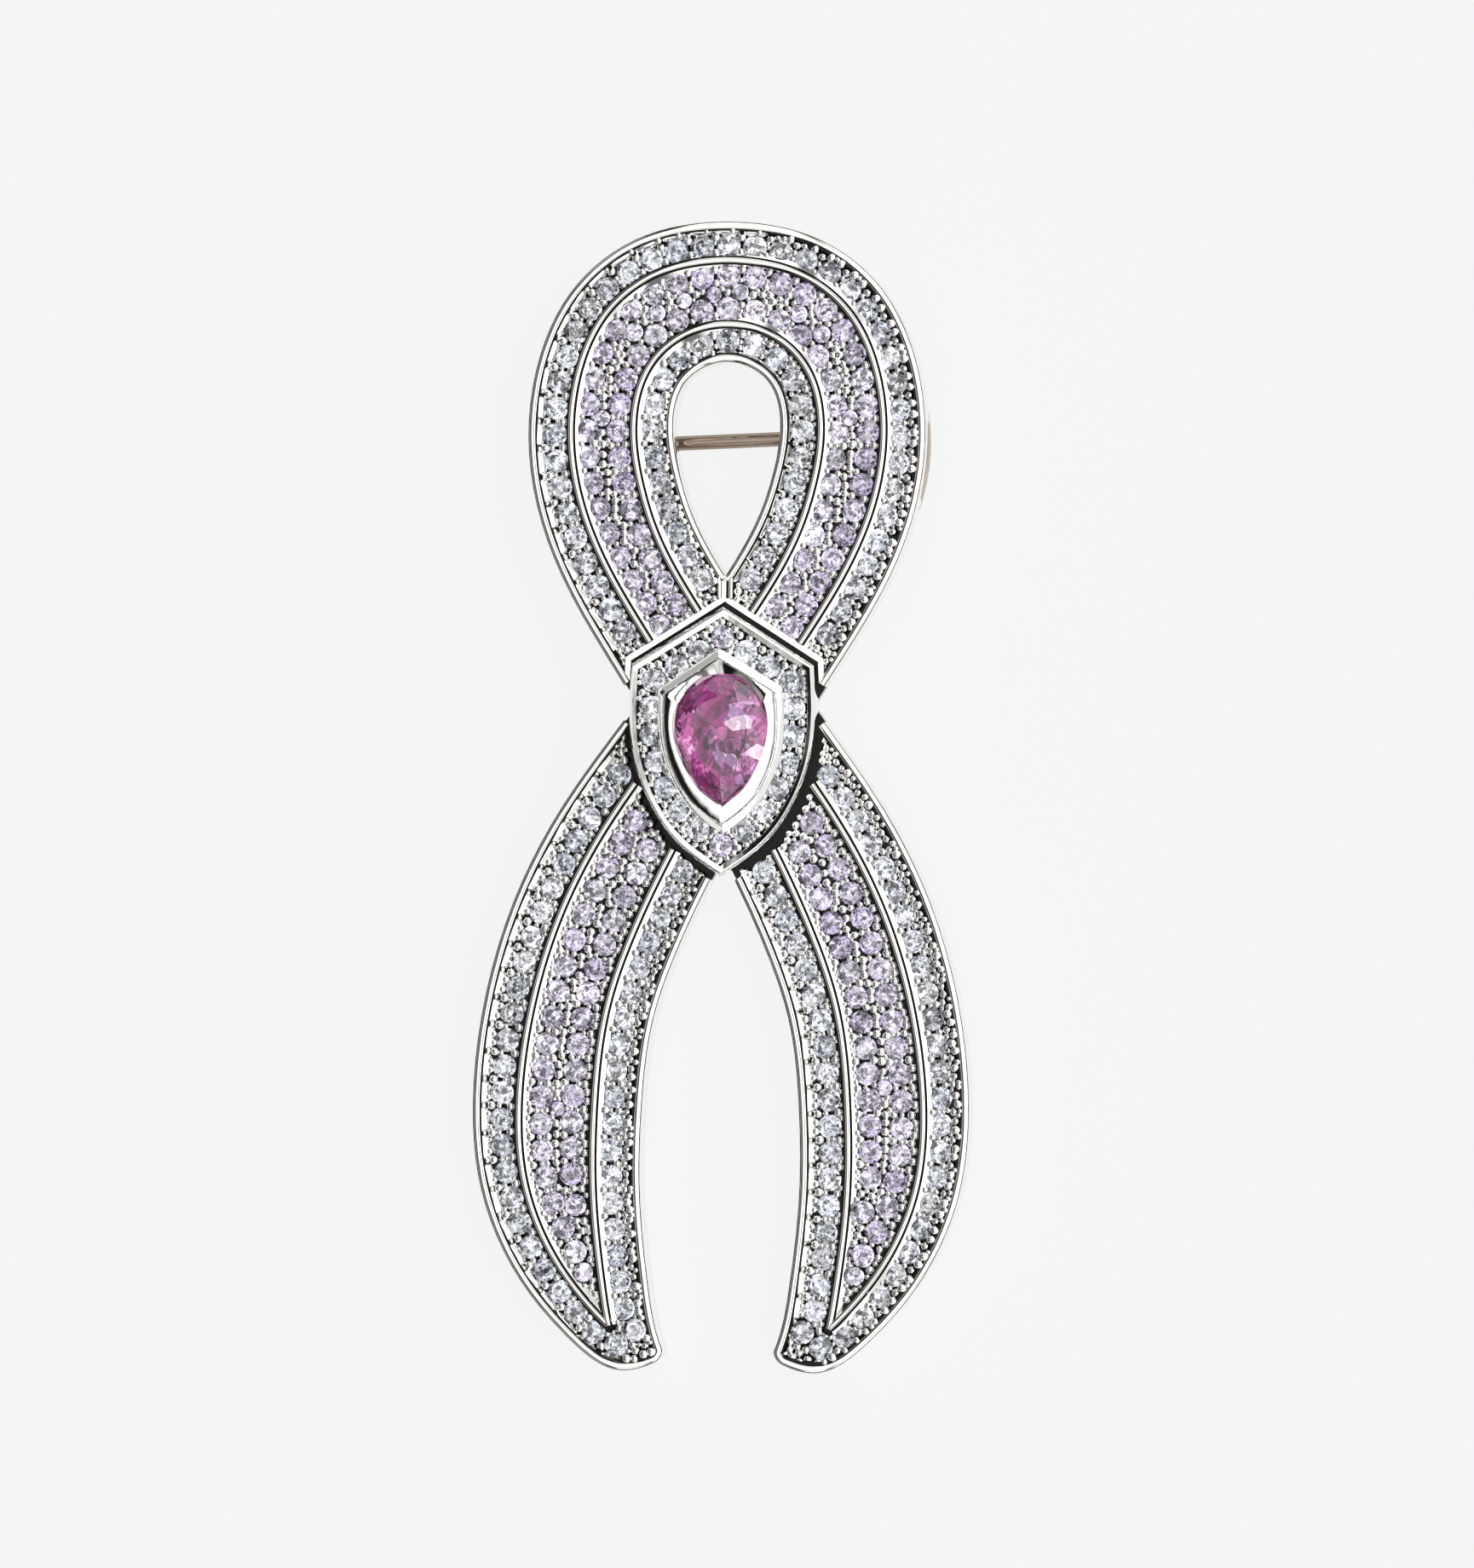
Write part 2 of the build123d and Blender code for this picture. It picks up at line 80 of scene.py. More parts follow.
pear_girdle = 0.12
post_radius = 0.45
post_spacing = 6.0
post_foot = 0.05
post_top = shield_base + 0.1
pin_height = 15.38
rest_drop = 2.55

rest_angle = math.atan2(rest_drop, pin_height + tail_length)
middle_y = ((tail_length - loop_height) * math.cos(rest_angle) + ribbon_thickness * math.sin(rest_angle)) / 2
lift = tail_length * math.sin(rest_angle)
LAID = Matrix.Scale(0.001, 4) @ Matrix.Translation((0, middle_y, lift)) @ Matrix.Rotation(rest_angle, 4, "X")

# The ribbon's two long edges. Columns, as in the part's drawing: x and y as shares of half the loop width and
# the loop height, then of half the gap and the tail length.
FIRST_EDGE_LOOP = [
    (0.0, 1.0), (0.431, 0.971), (0.776, 0.871), (0.966, 0.708),
    (0.999, 0.59), (0.948, 0.444), (0.777, 0.28), (0.572, 0.148),
]
FIRST_EDGE_TAIL = [
    (-0.268, 0.25), (-0.59, 0.343), (-0.837, 0.437), (-0.98, 0.577),
    (-0.995, 0.718), (-0.888, 0.858), (-0.695, 0.967),
]
# Columns: x and y as shares of half the hole's width and its height, then of half the spread and the length.
SECOND_EDGE_HOLE = [(0.0, 1.0), (0.76, 0.91), (1.0, 0.71), (0.86, 0.468), (0.66, 0.31), (0.0, 0.0)]
SECOND_EDGE_TAIL = [
    (-0.405, -0.031), (-0.654, 0.109), (-0.835, 0.25), (-0.967, 0.437), (-1.0, 0.577),
    (-0.962, 0.718), (-0.804, 0.858), (-0.6, 0.952), (-0.39, 1.0), (-0.262, 0.988),
]
SHIELD_CORNERS = [(0.0, 1.0), (0.98, 0.57)]
SHIELD_CURVE = [(1.0, 0.19), (0.945, -0.14), (0.79, -0.437), (0.5, -0.735), (0.0, -1.0)]
PEAR_CURVE = [
    (0.0, 1.0), (0.55, 0.88), (0.89, 0.62), (1.0, 0.3),
    (0.93, -0.08), (0.7, -0.46), (0.37, -0.78), (0.0, -1.0),
]
# Distances of the ridges from their edge, at the start, the middle and the end of each border
BORDERS = {
    "loop_outer": (1.93, 2.16, 2.28),
    "loop_inner": (1.9, 2.1, 2.08),
    "tail_outer": (2.2, 2.4, 1.66),
    "tail_inner": (2.43, 2.45, 2.3),
}
tail_centre_row = 1.12
wall_step = 0.1


def turned(vector):
    """A flat vector turned a quarter to the left."""
    return np.stack([-vector[..., 1], vector[..., 0]], axis=-1)


class Curve:
    """A smooth curve through points, with its directions at both ends where they are given."""

    def __init__(self, points, start=None, end=None):
        self.points = np.array(points, float)
        steps = np.linalg.norm(np.diff(self.points, axis=0), axis=1)
        self.places = np.concatenate([[0], np.cumsum(steps)])
        count = len(self.points)
        system = np.zeros((count, count))
        right = np.zeros((count, 2))
        for i in range(1, count - 1):
            before, after = steps[i - 1], steps[i]
            system[i, i - 1 : i + 2] = 1 / before, 2 / before + 2 / after, 1 / after
            right[i] = 3 * (self.points[i] - self.points[i - 1]) / before**2
            right[i] += 3 * (self.points[i + 1] - self.points[i]) / after**2
        for i, other, given in ((0, 1, start), (-1, -2, end)):
            if given is None:
                system[i, i], system[i, other] = 2, 1
                right[i] = 3 * (self.points[max(i, other)] - self.points[min(i, other)]) / steps[i]
            else:
                system[i, i] = 1
                right[i] = np.array(given) / np.linalg.norm(given)
        if start is None:
            right[0] = 3 * (self.points[1] - self.points[0]) / steps[0]
        if end is None:
            right[-1] = 3 * (self.points[-1] - self.points[-2]) / steps[-1]
        self.slopes = np.linalg.solve(system, right)

    def at(self, shares):
        """Points at shares of the curve."""
        place = np.clip(np.atleast_1d(shares), 0, 1) * self.places[-1]
        i = np.clip(np.searchsorted(self.places, place) - 1, 0, len(self.places) - 2)
        step = (self.places[i + 1] - self.places[i])[:, None]
        t = (place - self.places[i])[:, None] / step
        p, q, m, n = self.points[i], self.points[i + 1], self.slopes[i], self.slopes[i + 1]
        value = p * (2 * t**3 - 3 * t**2 + 1) + q * (3 * t**2 - 2 * t**3)
        return value + step * (m * (t**3 - 2 * t**2 + t) + n * (t**3 - t**2))

    def along(self, shares):
        """Unit directions at shares of the curve."""
        small = 1e-4
        step = self.at(np.atleast_1d(shares) + small) - self.at(np.atleast_1d(shares) - small)
        return step / np.linalg.norm(step, axis=1)[:, None]


def share_at_x(curve, x, low, high):
    """The share at which a curve passes x on its way over the crossing, from right to left."""
    for _ in range(30):
        middle = (low + high) / 2
        if curve.at(middle)[0, 0] > x:
            low = middle
        else:
            high = middle
    return low


first_points = [(x * loop_width / 2, y * loop_height) for x, y in FIRST_EDGE_LOOP]
first_points += [(x * tail_gap / 2, -y * tail_length) for x, y in FIRST_EDGE_TAIL]
hole_height = hole_top - hole_bottom
second_points = [(x * hole_width / 2, hole_bottom + y * hole_height) for x, y in SECOND_EDGE_HOLE]
second_points += [(x * tail_spread / 2, -y * tail_length) for x, y in SECOND_EDGE_TAIL]
FIRST = Curve(first_points, (1, 0), (0.42, -1))
SECOND = Curve(second_points, (1, 0), (1, 0.45))
# Each border: its edge, the side that it lies on and the shares of the edge that it runs between
STRETCHES = {
    "loop_outer": (FIRST, -1, 0, share_at_x(FIRST, shield_width * 0.27, 0.25, 0.6)),
    "loop_inner": (SECOND, 1, 0, share_at_x(SECOND, -shield_width * 0.2, 0.2, 0.5)),
    "tail_outer": (SECOND, 1, share_at_x(SECOND, -shield_width * 0.27, 0.2, 0.5), 1),
    "tail_inner": (FIRST, -1, share_at_x(FIRST, shield_width * 0.05, 0.25, 0.6), 1),
}


def beside(border, scale=1.0, add=0.0, count=400):
    """Points of a line in a border: its ridge line scaled or moved, where scale 0 is the edge itself."""
    edge, side, start, end = STRETCHES[border]
    share = np.linspace(0, 1, count)
    first, middle, last = BORDERS[border]
    distance = first * (1 - share) * (1 - 2 * share) + middle * 4 * share * (1 - share)
    distance = (distance + last * share * (2 * share - 1)) * scale + add
    place = start + (end - start) * share
    return edge.at(place) + turned(edge.along(place)) * side * distance[:, None]


def shield_loop(width, top, bottom, shoulder=12, side=48):
    """Points round a shield, clockwise from its upper point."""
    corners = [(x * width / 2, y * top) for x, y in SHIELD_CORNERS]
    curve = [(x * width / 2, y * (top if y > 0 else bottom)) for x, y in SHIELD_CURVE]
    share = np.linspace(0, 1, shoulder, endpoint=False)[:, None]
    straight = np.array(corners[0]) * (1 - share) + np.array(corners[1]) * share
    right = np.concatenate([straight, Curve([corners[1]] + curve).at(np.linspace(0, 1, side))])
    left = right[-2:0:-1] * (-1, 1)
    return np.concatenate([right, left])


def grown_shield(growth):
    """The shield's loop, grown about its middle by a distance measured at its sides."""
    scale = 1 + 2 * growth / shield_width
    return shield_loop(shield_width * scale, shield_top * scale, shield_bottom * scale)


def inside(points, loop):
    """Whether points lie inside a closed loop."""
    x, y = points[:, 0][:, None], points[:, 1][:, None]
    a, b = loop, np.roll(loop, -1, axis=0)
    crosses = (a[:, 1] > y) != (b[:, 1] > y)
    with np.errstate(divide="ignore", invalid="ignore"):
        at = a[:, 0] + (y - a[:, 1]) * (b[:, 0] - a[:, 0]) / (b[:, 1] - a[:, 1])
    return (crosses & (x < at)).sum(axis=1) % 2 == 1


POCKET = grown_shield(shield_gap)


def outside_pocket(points):
    """The points of a line that lie clear of the shield's pocket."""
    return points[~inside(points, POCKET)]


def mirrored(points):
    """Points reflected from right to left."""
    return points * (-1, 1)


def both_sides(points):
    """A line of the right half that starts on the middle line, carried on over it to the left."""
    return np.concatenate([mirrored(points)[:0:-1], points])


def ended_at(points, other):
    """A line, ended where it comes nearest to another."""
    gaps = np.linalg.norm(points[:, None] - other[None], axis=2).min(axis=1)
    return points[: int(gaps.argmin()) + 1]


def spaced(points, step, closed=False):
    """A line's points, evenly respaced."""
    if closed:
        points = np.concatenate([points, points[:1]])
    lengths = np.concatenate([[0], np.cumsum(np.linalg.norm(np.diff(points, axis=0), axis=1))])
    count = max(2, int(round(lengths[-1] / step)) + 1)
    places = np.linspace(0, lengths[-1], count)
    even = np.stack([np.interp(places, lengths, points[:, i]) for i in (0, 1)], axis=1)
    return even[:-1] if closed else even


def directions(points, closed=False):
    """Unit directions of a line at its points."""
    if closed:
        step = np.roll(points, -1, axis=0) - np.roll(points, 1, axis=0)
    else:
        step = np.gradient(points, axis=0)
    return step / np.linalg.norm(step, axis=1)[:, None]


def hole_loop(add=0.0):
    """A loop round the hole: its edge, or a line beside it."""
    line = beside("loop_inner", 0, add)
    line = line[line[:, 0] >= -1e-6]
    return np.concatenate([line, mirrored(line)[-2:0:-1]])


def loop_ridge(border):
    """One of the loop's two ridge lines, from one side of the pocket to the other."""
    return both_sides(outside_pocket(beside(border)))


def tail_lines(scale=1.0, add=0.0):
    """The left tail's two ridge lines, or lines beside them, each ended where it is nearest the other."""
    outer, inner = beside("tail_outer", scale, add), beside("tail_inner", scale, add)
    return ended_at(outer, inner), ended_at(inner, outer)


def tail_field(scale=1.0, add=0.0):
    """The loop round the field between two such lines."""
    outer, inner = tail_lines(scale, add)
    return np.concatenate([outer, inner[::-1]])


def ridge_lines():
    """The lines of all ridges."""
    lines = [loop_ridge(border) for border in ("loop_outer", "loop_inner")]
    for line in tail_lines():
        line = outside_pocket(line)
        lines += [line, mirrored(line)]
    return lines


# Meshes

def finished(bm, name, material, body="brooch", smooth=40, second=None):
    """An object of a flat mesh, laid on its back, in one or two finishes, riding on a body."""
    bmesh.ops.transform(bm, matrix=LAID, verts=bm.verts)
    mesh = new_mesh(name, bm)
    if smooth:
        mesh.shade_smooth()
        mesh.set_sharp_from_angle(angle=math.radians(smooth))
    piece = bpy.data.objects.new(name, mesh)
    bpy.context.scene.collection.objects.link(piece)
    mesh.materials.append(material)
    if second:
        mesh.materials.append(second)
    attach(piece, body)
    return piece


def loft(bm, rings, closed_along=False):
    """Skins a row of closed rings of points, and caps the first and the last unless they meet."""
    count, around = len(rings), len(rings[0])
    made = bmesh.ops.create_grid(bm, x_segments=count - 1 + closed_along, y_segments=around, size=0.5)
    for vert in made["verts"]:
        i = round((vert.co.x + 0.5) * (count - 1 + closed_along)) % count
        j = round((vert.co.y + 0.5) * around) % around
        vert.co = rings[i][j]
    bmesh.ops.remove_doubles(bm, verts=made["verts"], dist=1e-5)
    verts = [v for v in made["verts"] if v.is_valid]
    rims = {edge for v in verts for edge in v.link_edges if edge.is_boundary}
    if rims:
        bmesh.ops.holes_fill(bm, edges=list(rims), sides=0)
    faces = {face for v in verts for face in v.link_faces}
    bmesh.ops.recalc_face_normals(bm, faces=list(faces))


def bar(bm, line, profile, closed=False, side=1):
    """Sweeps a closed profile along a flat line. Profile columns: distance to the line's left, height.

    Where side is -1, the distance is to the line's right.
    """
    across = turned(directions(line, closed)) * side
    rings = [[Vector((*(p + a * d), z)) for d, z in profile] for p, a in zip(line, across)]
    loft(bm, rings, closed)


def scattered(bm, template, matrices):
    """Copies of a template mesh joined into one."""
    for matrix in matrices:
        copy = template.copy()
        copy.transform(matrix)
        bm.from_mesh(copy)
        bpy.data.meshes.remove(copy)
    return bm


def new_mesh(name, bm):
    """A mesh made of a bmesh, which is freed."""
    mesh = bpy.data.meshes.new(name)
    bm.to_mesh(mesh)
    bm.free()
    return mesh


# Materials

def give(tree, node, values):
    """Sets inputs of a node, and links those whose value is another node's output."""
    for label, value in values.items():
        if isinstance(value, bpy.types.NodeSocket):
            tree.links.new(value, node.inputs[label])
        else:
            node.inputs[label].default_value = value


def add_node(tree, kind, values=None, **settings):
    """A shader node with its settings and its inputs."""
    node = tree.nodes.new("ShaderNode" + kind)
    for label, setting in settings.items():
        setattr(node, label, setting)
    give(tree, node, values or {})
    return node


def new_group(name, inputs, outputs):
    """A node group with sockets by name and kind, the outputs of its input node, and its output node."""
    group = bpy.data.node_groups.new(name, "ShaderNodeTree")
    for sockets, way in ((inputs, "INPUT"), (outputs, "OUTPUT")):
        for label, kind in sockets.items():
            group.interface.new_socket(label, in_out=way, socket_type="NodeSocket" + kind)
    return group, group.nodes.new("NodeGroupInput").outputs, group.nodes.new("NodeGroupOutput")


def colour_ramp(tree, value, stops, interpolation):
    """A value from 0 to 1 turned into a colour. Columns of the stops: place on the ramp, colour."""
    ramp = add_node(tree, "ValToRGB", {"Fac": value})
    ramp.color_ramp.interpolation = interpolation
    ramp.color_ramp.elements[0].position = stops[0][0]
    ramp.color_ramp.elements[1].position = stops[-1][0]
    for place, _ in stops[1:-1]:
        ramp.color_ramp.elements.new(place)
    for element, (_, colour) in zip(ramp.color_ramp.elements, stops):
        element.color = (*colour, 1)
    return ramp.outputs["Color"]


def new_material(name):
    """A material and its node tree, with one Principled shader."""
    material = bpy.data.materials.new(name)
    material.use_nodes = True
    tree = material.node_tree
    shader = tree.nodes["Principled BSDF"]
    return material, tree, shader


def metal_wear_group():
    """Shared effect of all metal: fine polishing marks, faint waviness and a slightly uneven colour."""
    inputs = {"Colour": "Color", "Deep colour": "Color", "Roughness": "Float"}
    inputs.update({"Mark depth": "Float", "Wave depth": "Float"})
    outputs = {"Colour": "Color", "Roughness": "Float", "Normal": "Vector"}
    group, given, out = new_group("metal_wear", inputs, outputs)
    place = add_node(group, "TexCoord").outputs["Object"]
    marks = add_node(group, "TexNoise", {"Vector": place, "Scale": 4200, "Detail": 3}).outputs["Fac"]
    wave = add_node(group, "TexNoise", {"Vector": place, "Scale": 700, "Detail": 1}).outputs["Fac"]
    deep = add_node(group, "Math", {0: wave, 1: 0.35}, operation="MULTIPLY").outputs[0]
    colours = {"Factor": deep, 6: given["Colour"], 7: given["Deep colour"]}
    mix = add_node(group, "Mix", colours, data_type="RGBA").outputs[2]
    uneven = add_node(group, "MapRange", {"Value": marks, "To Min": 0.7, "To Max": 1.4}).outputs["Result"]
    rough = add_node(group, "Math", {0: given["Roughness"], 1: uneven}, operation="MULTIPLY").outputs[0]
    coarse = add_node(group, "Bump", {"Distance": 0.00006, "Strength": given["Wave depth"], "Height": wave})
    fine = add_node(group, "Bump", {"Distance": 0.000008, "Strength": given["Mark depth"], "Height": marks})
    give(group, fine, {"Normal": coarse.outputs["Normal"]})
    give(group, out, {"Colour": mix, "Roughness": rough, "Normal": fine.outputs["Normal"]})
    return group


METAL_WEAR = metal_wear_group()


def recess_shade_group():
    """Painted shade for the cast metal's recesses: 1 above a level, where the face is, and 0 below it."""
    group, given, out = new_group("recess", {"Level": "Float"}, {"Recess": "Float"})
    place = add_node(group, "TexCoord").outputs["Object"]
    laid = {"Vector": place, "Location": LAID.to_translation(), "Rotation": (rest_angle, 0, 0)}
    flat = add_node(group, "Mapping", laid, vector_type="TEXTURE").outputs["Vector"]
    height = add_node(group, "SeparateXYZ", {0: flat}).outputs["Z"]
    above = add_node(group, "Math", {0: height, 1: given["Level"]}, operation="SUBTRACT").outputs[0]
    sharp = add_node(group, "MapRange", {"Value": above, "From Min": -0.00005, "From Max": 0.00005})
    give(group, out, {"Recess": sharp.outputs["Result"]})
    return group


RECESS_SHADE = recess_shade_group()


def cast_metal(name, colour, dark, level):
    """Cast white gold, darkened above a level in metres by painted shade in its recesses."""
    material = metal(name, colour, [0.6 * c for c in colour], 0.2, 0.6, 0.5)
    tree = material.node_tree
    wear = next(node for node in tree.nodes if node.type == "GROUP")
    # Above the level, where the recesses between grains and stones lie, the colour is painted shade
    recess = add_node(tree, "Group", {"Level": level}, node_tree=RECESS_SHADE).outputs["Recess"]
    colours = {"Factor": recess, 6: wear.outputs["Colour"], 7: (*dark, 1)}
    mix = add_node(tree, "Mix", colours, data_type="RGBA")
    give(tree, tree.nodes["Principled BSDF"], {"Base Color": mix.outputs[2]})
    return material


def metal(name, colour, deep, roughness, marks, waves):
    """A white-gold finish."""
    material, tree, shader = new_material(name)
    values = {"Colour": (*colour, 1), "Deep colour": (*deep, 1), "Roughness": roughness}
    values.update({"Mark depth": marks, "Wave depth": waves})
    wear = add_node(tree, "Group", values, node_tree=METAL_WEAR).outputs
    give(tree, shader, {"Metallic": 1.0, "Base Color": wear["Colour"]})
    give(tree, shader, {"Roughness": wear["Roughness"], "Normal": wear["Normal"]})
    return material


def facet_glint_group():
    """Painted light of the small stones: fine patches of painted facet shade, dark to bright, and the few
    brightest as a mask of painted glints.
    """
    group, _, out = new_group("facet_glint", {}, {"Shade": "Float", "Glint": "Float"})
    place = add_node(group, "TexCoord").outputs["Object"]
    patches = add_node(group, "TexVoronoi", {"Vector": place, "Scale": 4600}).outputs["Color"]
    patch = add_node(group, "SeparateXYZ", {0: patches}).outputs
    shade = add_node(group, "MapRange", {"Value": patch[0], "From Min": 0.2, "From Max": 0.5, "To Min": 0.06})
    glint = add_node(group, "Math", {0: patch[1], 1: 0.78}, operation="GREATER_THAN")
    give(group, out, {"Shade": shade.outputs["Result"], "Glint": glint.outputs[0]})
    return group


FACET_GLINT = facet_glint_group()


def gem(name, colour, other, ior, scale, glow):
    """A cut stone: clear, its colour varying from stone to stone, darkened in patches by painted facet shade,
    with painted glints that glow.
    """
    material, tree, shader = new_material(name)
    place = add_node(tree, "TexCoord").outputs["Object"]
    noise = add_node(tree, "TexNoise", {"Vector": place, "Scale": scale, "Detail": 0}).outputs["Fac"]
    spread = add_node(tree, "MapRange", {"Value": noise, "From Min": 0.3, "From Max": 0.7}).outputs["Result"]
    colours = {"Factor": spread, 6: (*colour, 1), 7: (*other, 1)}
    mix = add_node(tree, "Mix", colours, data_type="RGBA").outputs[2]
    facets = add_node(tree, "Group", node_tree=FACET_GLINT).outputs
    colours = {"Factor": 1, 6: mix, 7: facets["Shade"]}
    shaded = add_node(tree, "Mix", colours, data_type="RGBA", blend_type="MULTIPLY").outputs[2]
    # Painted facet shade darkens the colour, and painted glints glow by emission
    give(tree, shader, {"Base Color": shaded, "Emission Color": facets["Glint"], "Emission Strength": glow})
    give(tree, shader, {"Roughness": 0.0, "IOR": ior, "Transmission Weight": 1.0})
    return material


# Columns of metal: colour, deeper colour of its waves, roughness, depth of its marks and of its waves
# Columns of cast_metal: colour, near-black colour of its painted shade, level above which it is painted dark
# Columns of gem: two colours that it varies between, IOR, scale of its patches, strength of its painted
# glints, which glow
POLISHED = metal("polished_white_gold", (0.95, 0.93, 0.9), (0.86, 0.82, 0.78), 0.05, 0.2, 0.25)
GRAIN_GOLD = metal("grain_white_gold", (0.95, 0.94, 0.93), (0.86, 0.84, 0.82), 0.05, 0.2, 0.2)
CUT = metal("bright_cut_white_gold", (0.97, 0.96, 0.95), (0.9, 0.86, 0.8), 0.04, 0.1, 0.2)
# The cast body's face between its grains and stones is painted near black as painted shade
CAST = cast_metal("cast_white_gold", (0.42, 0.37, 0.33), (0.022, 0.021, 0.02), 0.0009)
SHIELD_GOLD = metal("shield_white_gold", (0.93, 0.92, 0.9), (0.86, 0.83, 0.79), 0.05, 0.2, 0.25)
# Near-black gold, painted on the shield's sunk channel as painted shade
CHANNEL_SHADE = metal("painted_shade_white_gold", (0.03, 0.028, 0.026), (0.02, 0.02, 0.02), 0.2, 0.5, 0.5)
STEM = metal("pin_wire", (0.36, 0.29, 0.23), (0.12, 0.08, 0.05), 0.08, 0.5, 0.2)
PALE = gem("pale_stones", (0.66, 0.72, 0.86), (0.88, 0.9, 0.96), 2.0, 500, 0.35)
LILAC = gem("lilac_stones", (0.6, 0.49, 0.82), (0.82, 0.75, 0.94), 2.0, 500, 0.35)


def pink_sapphire():
    """The pear's pink, with painted facet light in patches: painted highlights and painted reflections palest
    on the right, painted shade deep around that, and a painted glow.
    """
    material, tree, shader = new_material("pink_sapphire")
    place = add_node(tree, "TexCoord").outputs["Object"]
    patches = add_node(tree, "TexVoronoi", {"Vector": place, "Scale": 900}).outputs["Color"]
    patch = add_node(tree, "SeparateXYZ", {0: patches}).outputs[0]
    # The palest painted highlight and painted reflections are centred on this spot on the right
    middle = LAID @ Vector((1.3, -0.2, 4.0))
    away = add_node(tree, "VectorMath", {0: place, 1: middle}, operation="DISTANCE").outputs["Value"]
    near = add_node(tree, "Math", {0: away, 1: -200, 2: 0.8}, operation="MULTIPLY_ADD").outputs[0]
    both = add_node(tree, "Math", {0: patch, 1: 0.4, 2: near}, operation="MULTIPLY_ADD").outputs[0]
    own_and_painted_stops = (
        (0.0, (0.9, 0.8, 0.88)), (0.07, (0.36, 0.12, 0.26)), (0.3, (0.2, 0.06, 0.15)),
        (0.4, (0.4, 0.13, 0.29)), (0.62, (0.22, 0.1, 0.2)), (0.75, (0.5, 0.42, 0.62)),
        (0.85, (0.95, 0.88, 0.93)),
    )
    # Painted glow: the facets shine by emission, in white painted reflections and deep painted shade
    painted_glow_stops = (
        (0.0, (0.9, 0.75, 0.85)), (0.07, (0.18, 0.035, 0.12)), (0.3, (0.04, 0.01, 0.03)),
        (0.4, (0.22, 0.04, 0.15)), (0.6, (0.04, 0.015, 0.035)), (0.75, (0.3, 0.24, 0.4)),
        (0.85, (1.0, 0.9, 0.95)),
    )
    for stops, socket in ((own_and_painted_stops, "Base Color"), (painted_glow_stops, "Emission Color")):
        give(tree, shader, {socket: colour_ramp(tree, both, stops, "CONSTANT")})
    give(tree, shader, {"Emission Strength": 0.5, "Roughness": 0.0, "IOR": 1.77, "Transmission Weight": 1.0})
    return material


PINK = pink_sapphire()


# Rims and ridges

# Profile columns: distance in from the ribbon's edge, height
RIM = [
    (-0.05, 0.14), (-0.05, 1.76), (-0.03, 1.88), (0.02, 1.98), (0.09, 2.05), (0.13, 2.06), (0.3, 2.06),
    (0.34, 2.04), (0.36, 1.98), (0.36, 1.9), (0.36, 1.2), (0.12, 0.5), (0.05, 0.02), (0.0, 0.02),
]
# Profile columns: distance from the ridge line, height
RIDGE = [
    (-0.13, 1.4), (-0.13, 2.0), (-0.12, 2.05), (-0.09, 2.07),
    (0.09, 2.07), (0.12, 2.05), (0.13, 2.0), (0.13, 1.4),
]
bar_step = 0.16


def edge_lines():
    """The lines of the ribbon's rims: the loop's outside and hole, and the two tails."""
    outer = outside_pocket(beside("loop_outer", 0))
    tail_out = outside_pocket(beside("tail_outer", 0))
    tail_in = outside_pocket(beside("tail_inner", 0))
    tip = tip_arc(tail_out, tail_in[-1])
    tail = np.concatenate([tail_out, tip, tail_in[::-1]])
    return both_sides(outer), hole_loop(), tail


def tip_arc(line, end, count=14):
    """Points of a tail's round tip: an arc that leaves a line smoothly and reaches an end."""
    start = line[-1]
    along = (line[-1] - line[-2]) / np.linalg.norm(line[-1] - line[-2])
    normal = turned(along)
    chord = end - start
    radius = chord @ chord / (2 * (chord @ normal))
    centre = start + normal * radius
    a = math.atan2(*(start - centre)[::-1])
    b = math.atan2(*(end - centre)[::-1])
    if radius > 0 and b < a:
        b += 2 * math.pi
    if radius < 0 and b > a:
        b -= 2 * math.pi
    angles = np.linspace(a, b, count + 2)[1:-1]
    return centre + abs(radius) * np.stack([np.cos(angles), np.sin(angles)], axis=1)


def polished_rims():
    """The polished skin on the rims of the loop, the hole and the two tails."""
    bm = bmesh.new()
    outer, hole, tail = edge_lines()
    bar(bm, spaced(outer, bar_step), RIM, side=-1)
    bar(bm, spaced(hole, bar_step, True), RIM, True, side=1)
    bar(bm, spaced(tail, bar_step), RIM, side=1)
    bar(bm, spaced(mirrored(tail), bar_step), RIM, side=-1)
    finished(bm, "polished_rims", POLISHED)


# Profile columns: distance in from the pocket's edge, height
LIP = [(-0.06, 1.4), (-0.06, 1.9), (-0.02, 1.95), (0.26, 1.95), (0.3, 1.9), (0.3, 1.1), (0.0, 1.1)]
# Profile columns: distance from the middle of the ribbon, height
WEB = [
    (-0.38, 1.3), (-0.38, 2.0), (-0.3, 2.08), (-0.2, 2.04),
    (0.2, 2.04), (0.3, 2.08), (0.38, 2.0), (0.38, 1.3),
]
lip_start = shield_top * 0.43
web_overlap = 0.15


def pocket_lip():
    """The lip that closes the loop's channels over the shield's two shoulders, and the web up to the hole."""
    upper = POCKET[POCKET[:, 1] > lip_start]
    left, right = upper[upper[:, 0] < 0], upper[upper[:, 0] >= 0]
    line = np.concatenate([left[np.argsort(left[:, 0])], right[np.argsort(right[:, 0])]])
    bm = bmesh.new()
    bar(bm, spaced(line, bar_step), LIP, side=-1)
    heights = np.linspace(POCKET[:, 1].max() - web_overlap, hole_bottom + 0.02, 8)
    bar(bm, np.array([(0.0, y) for y in heights]), WEB)
    finished(bm, "pocket_lip", POLISHED)


def polished_ridges():
    """The polished skin on the ridges between the fields."""
    bm = bmesh.new()
    for line in ridge_lines():
        bar(bm, spaced(line, bar_step), RIDGE)
    finished(bm, "polished_ridges", POLISHED)


# Stones

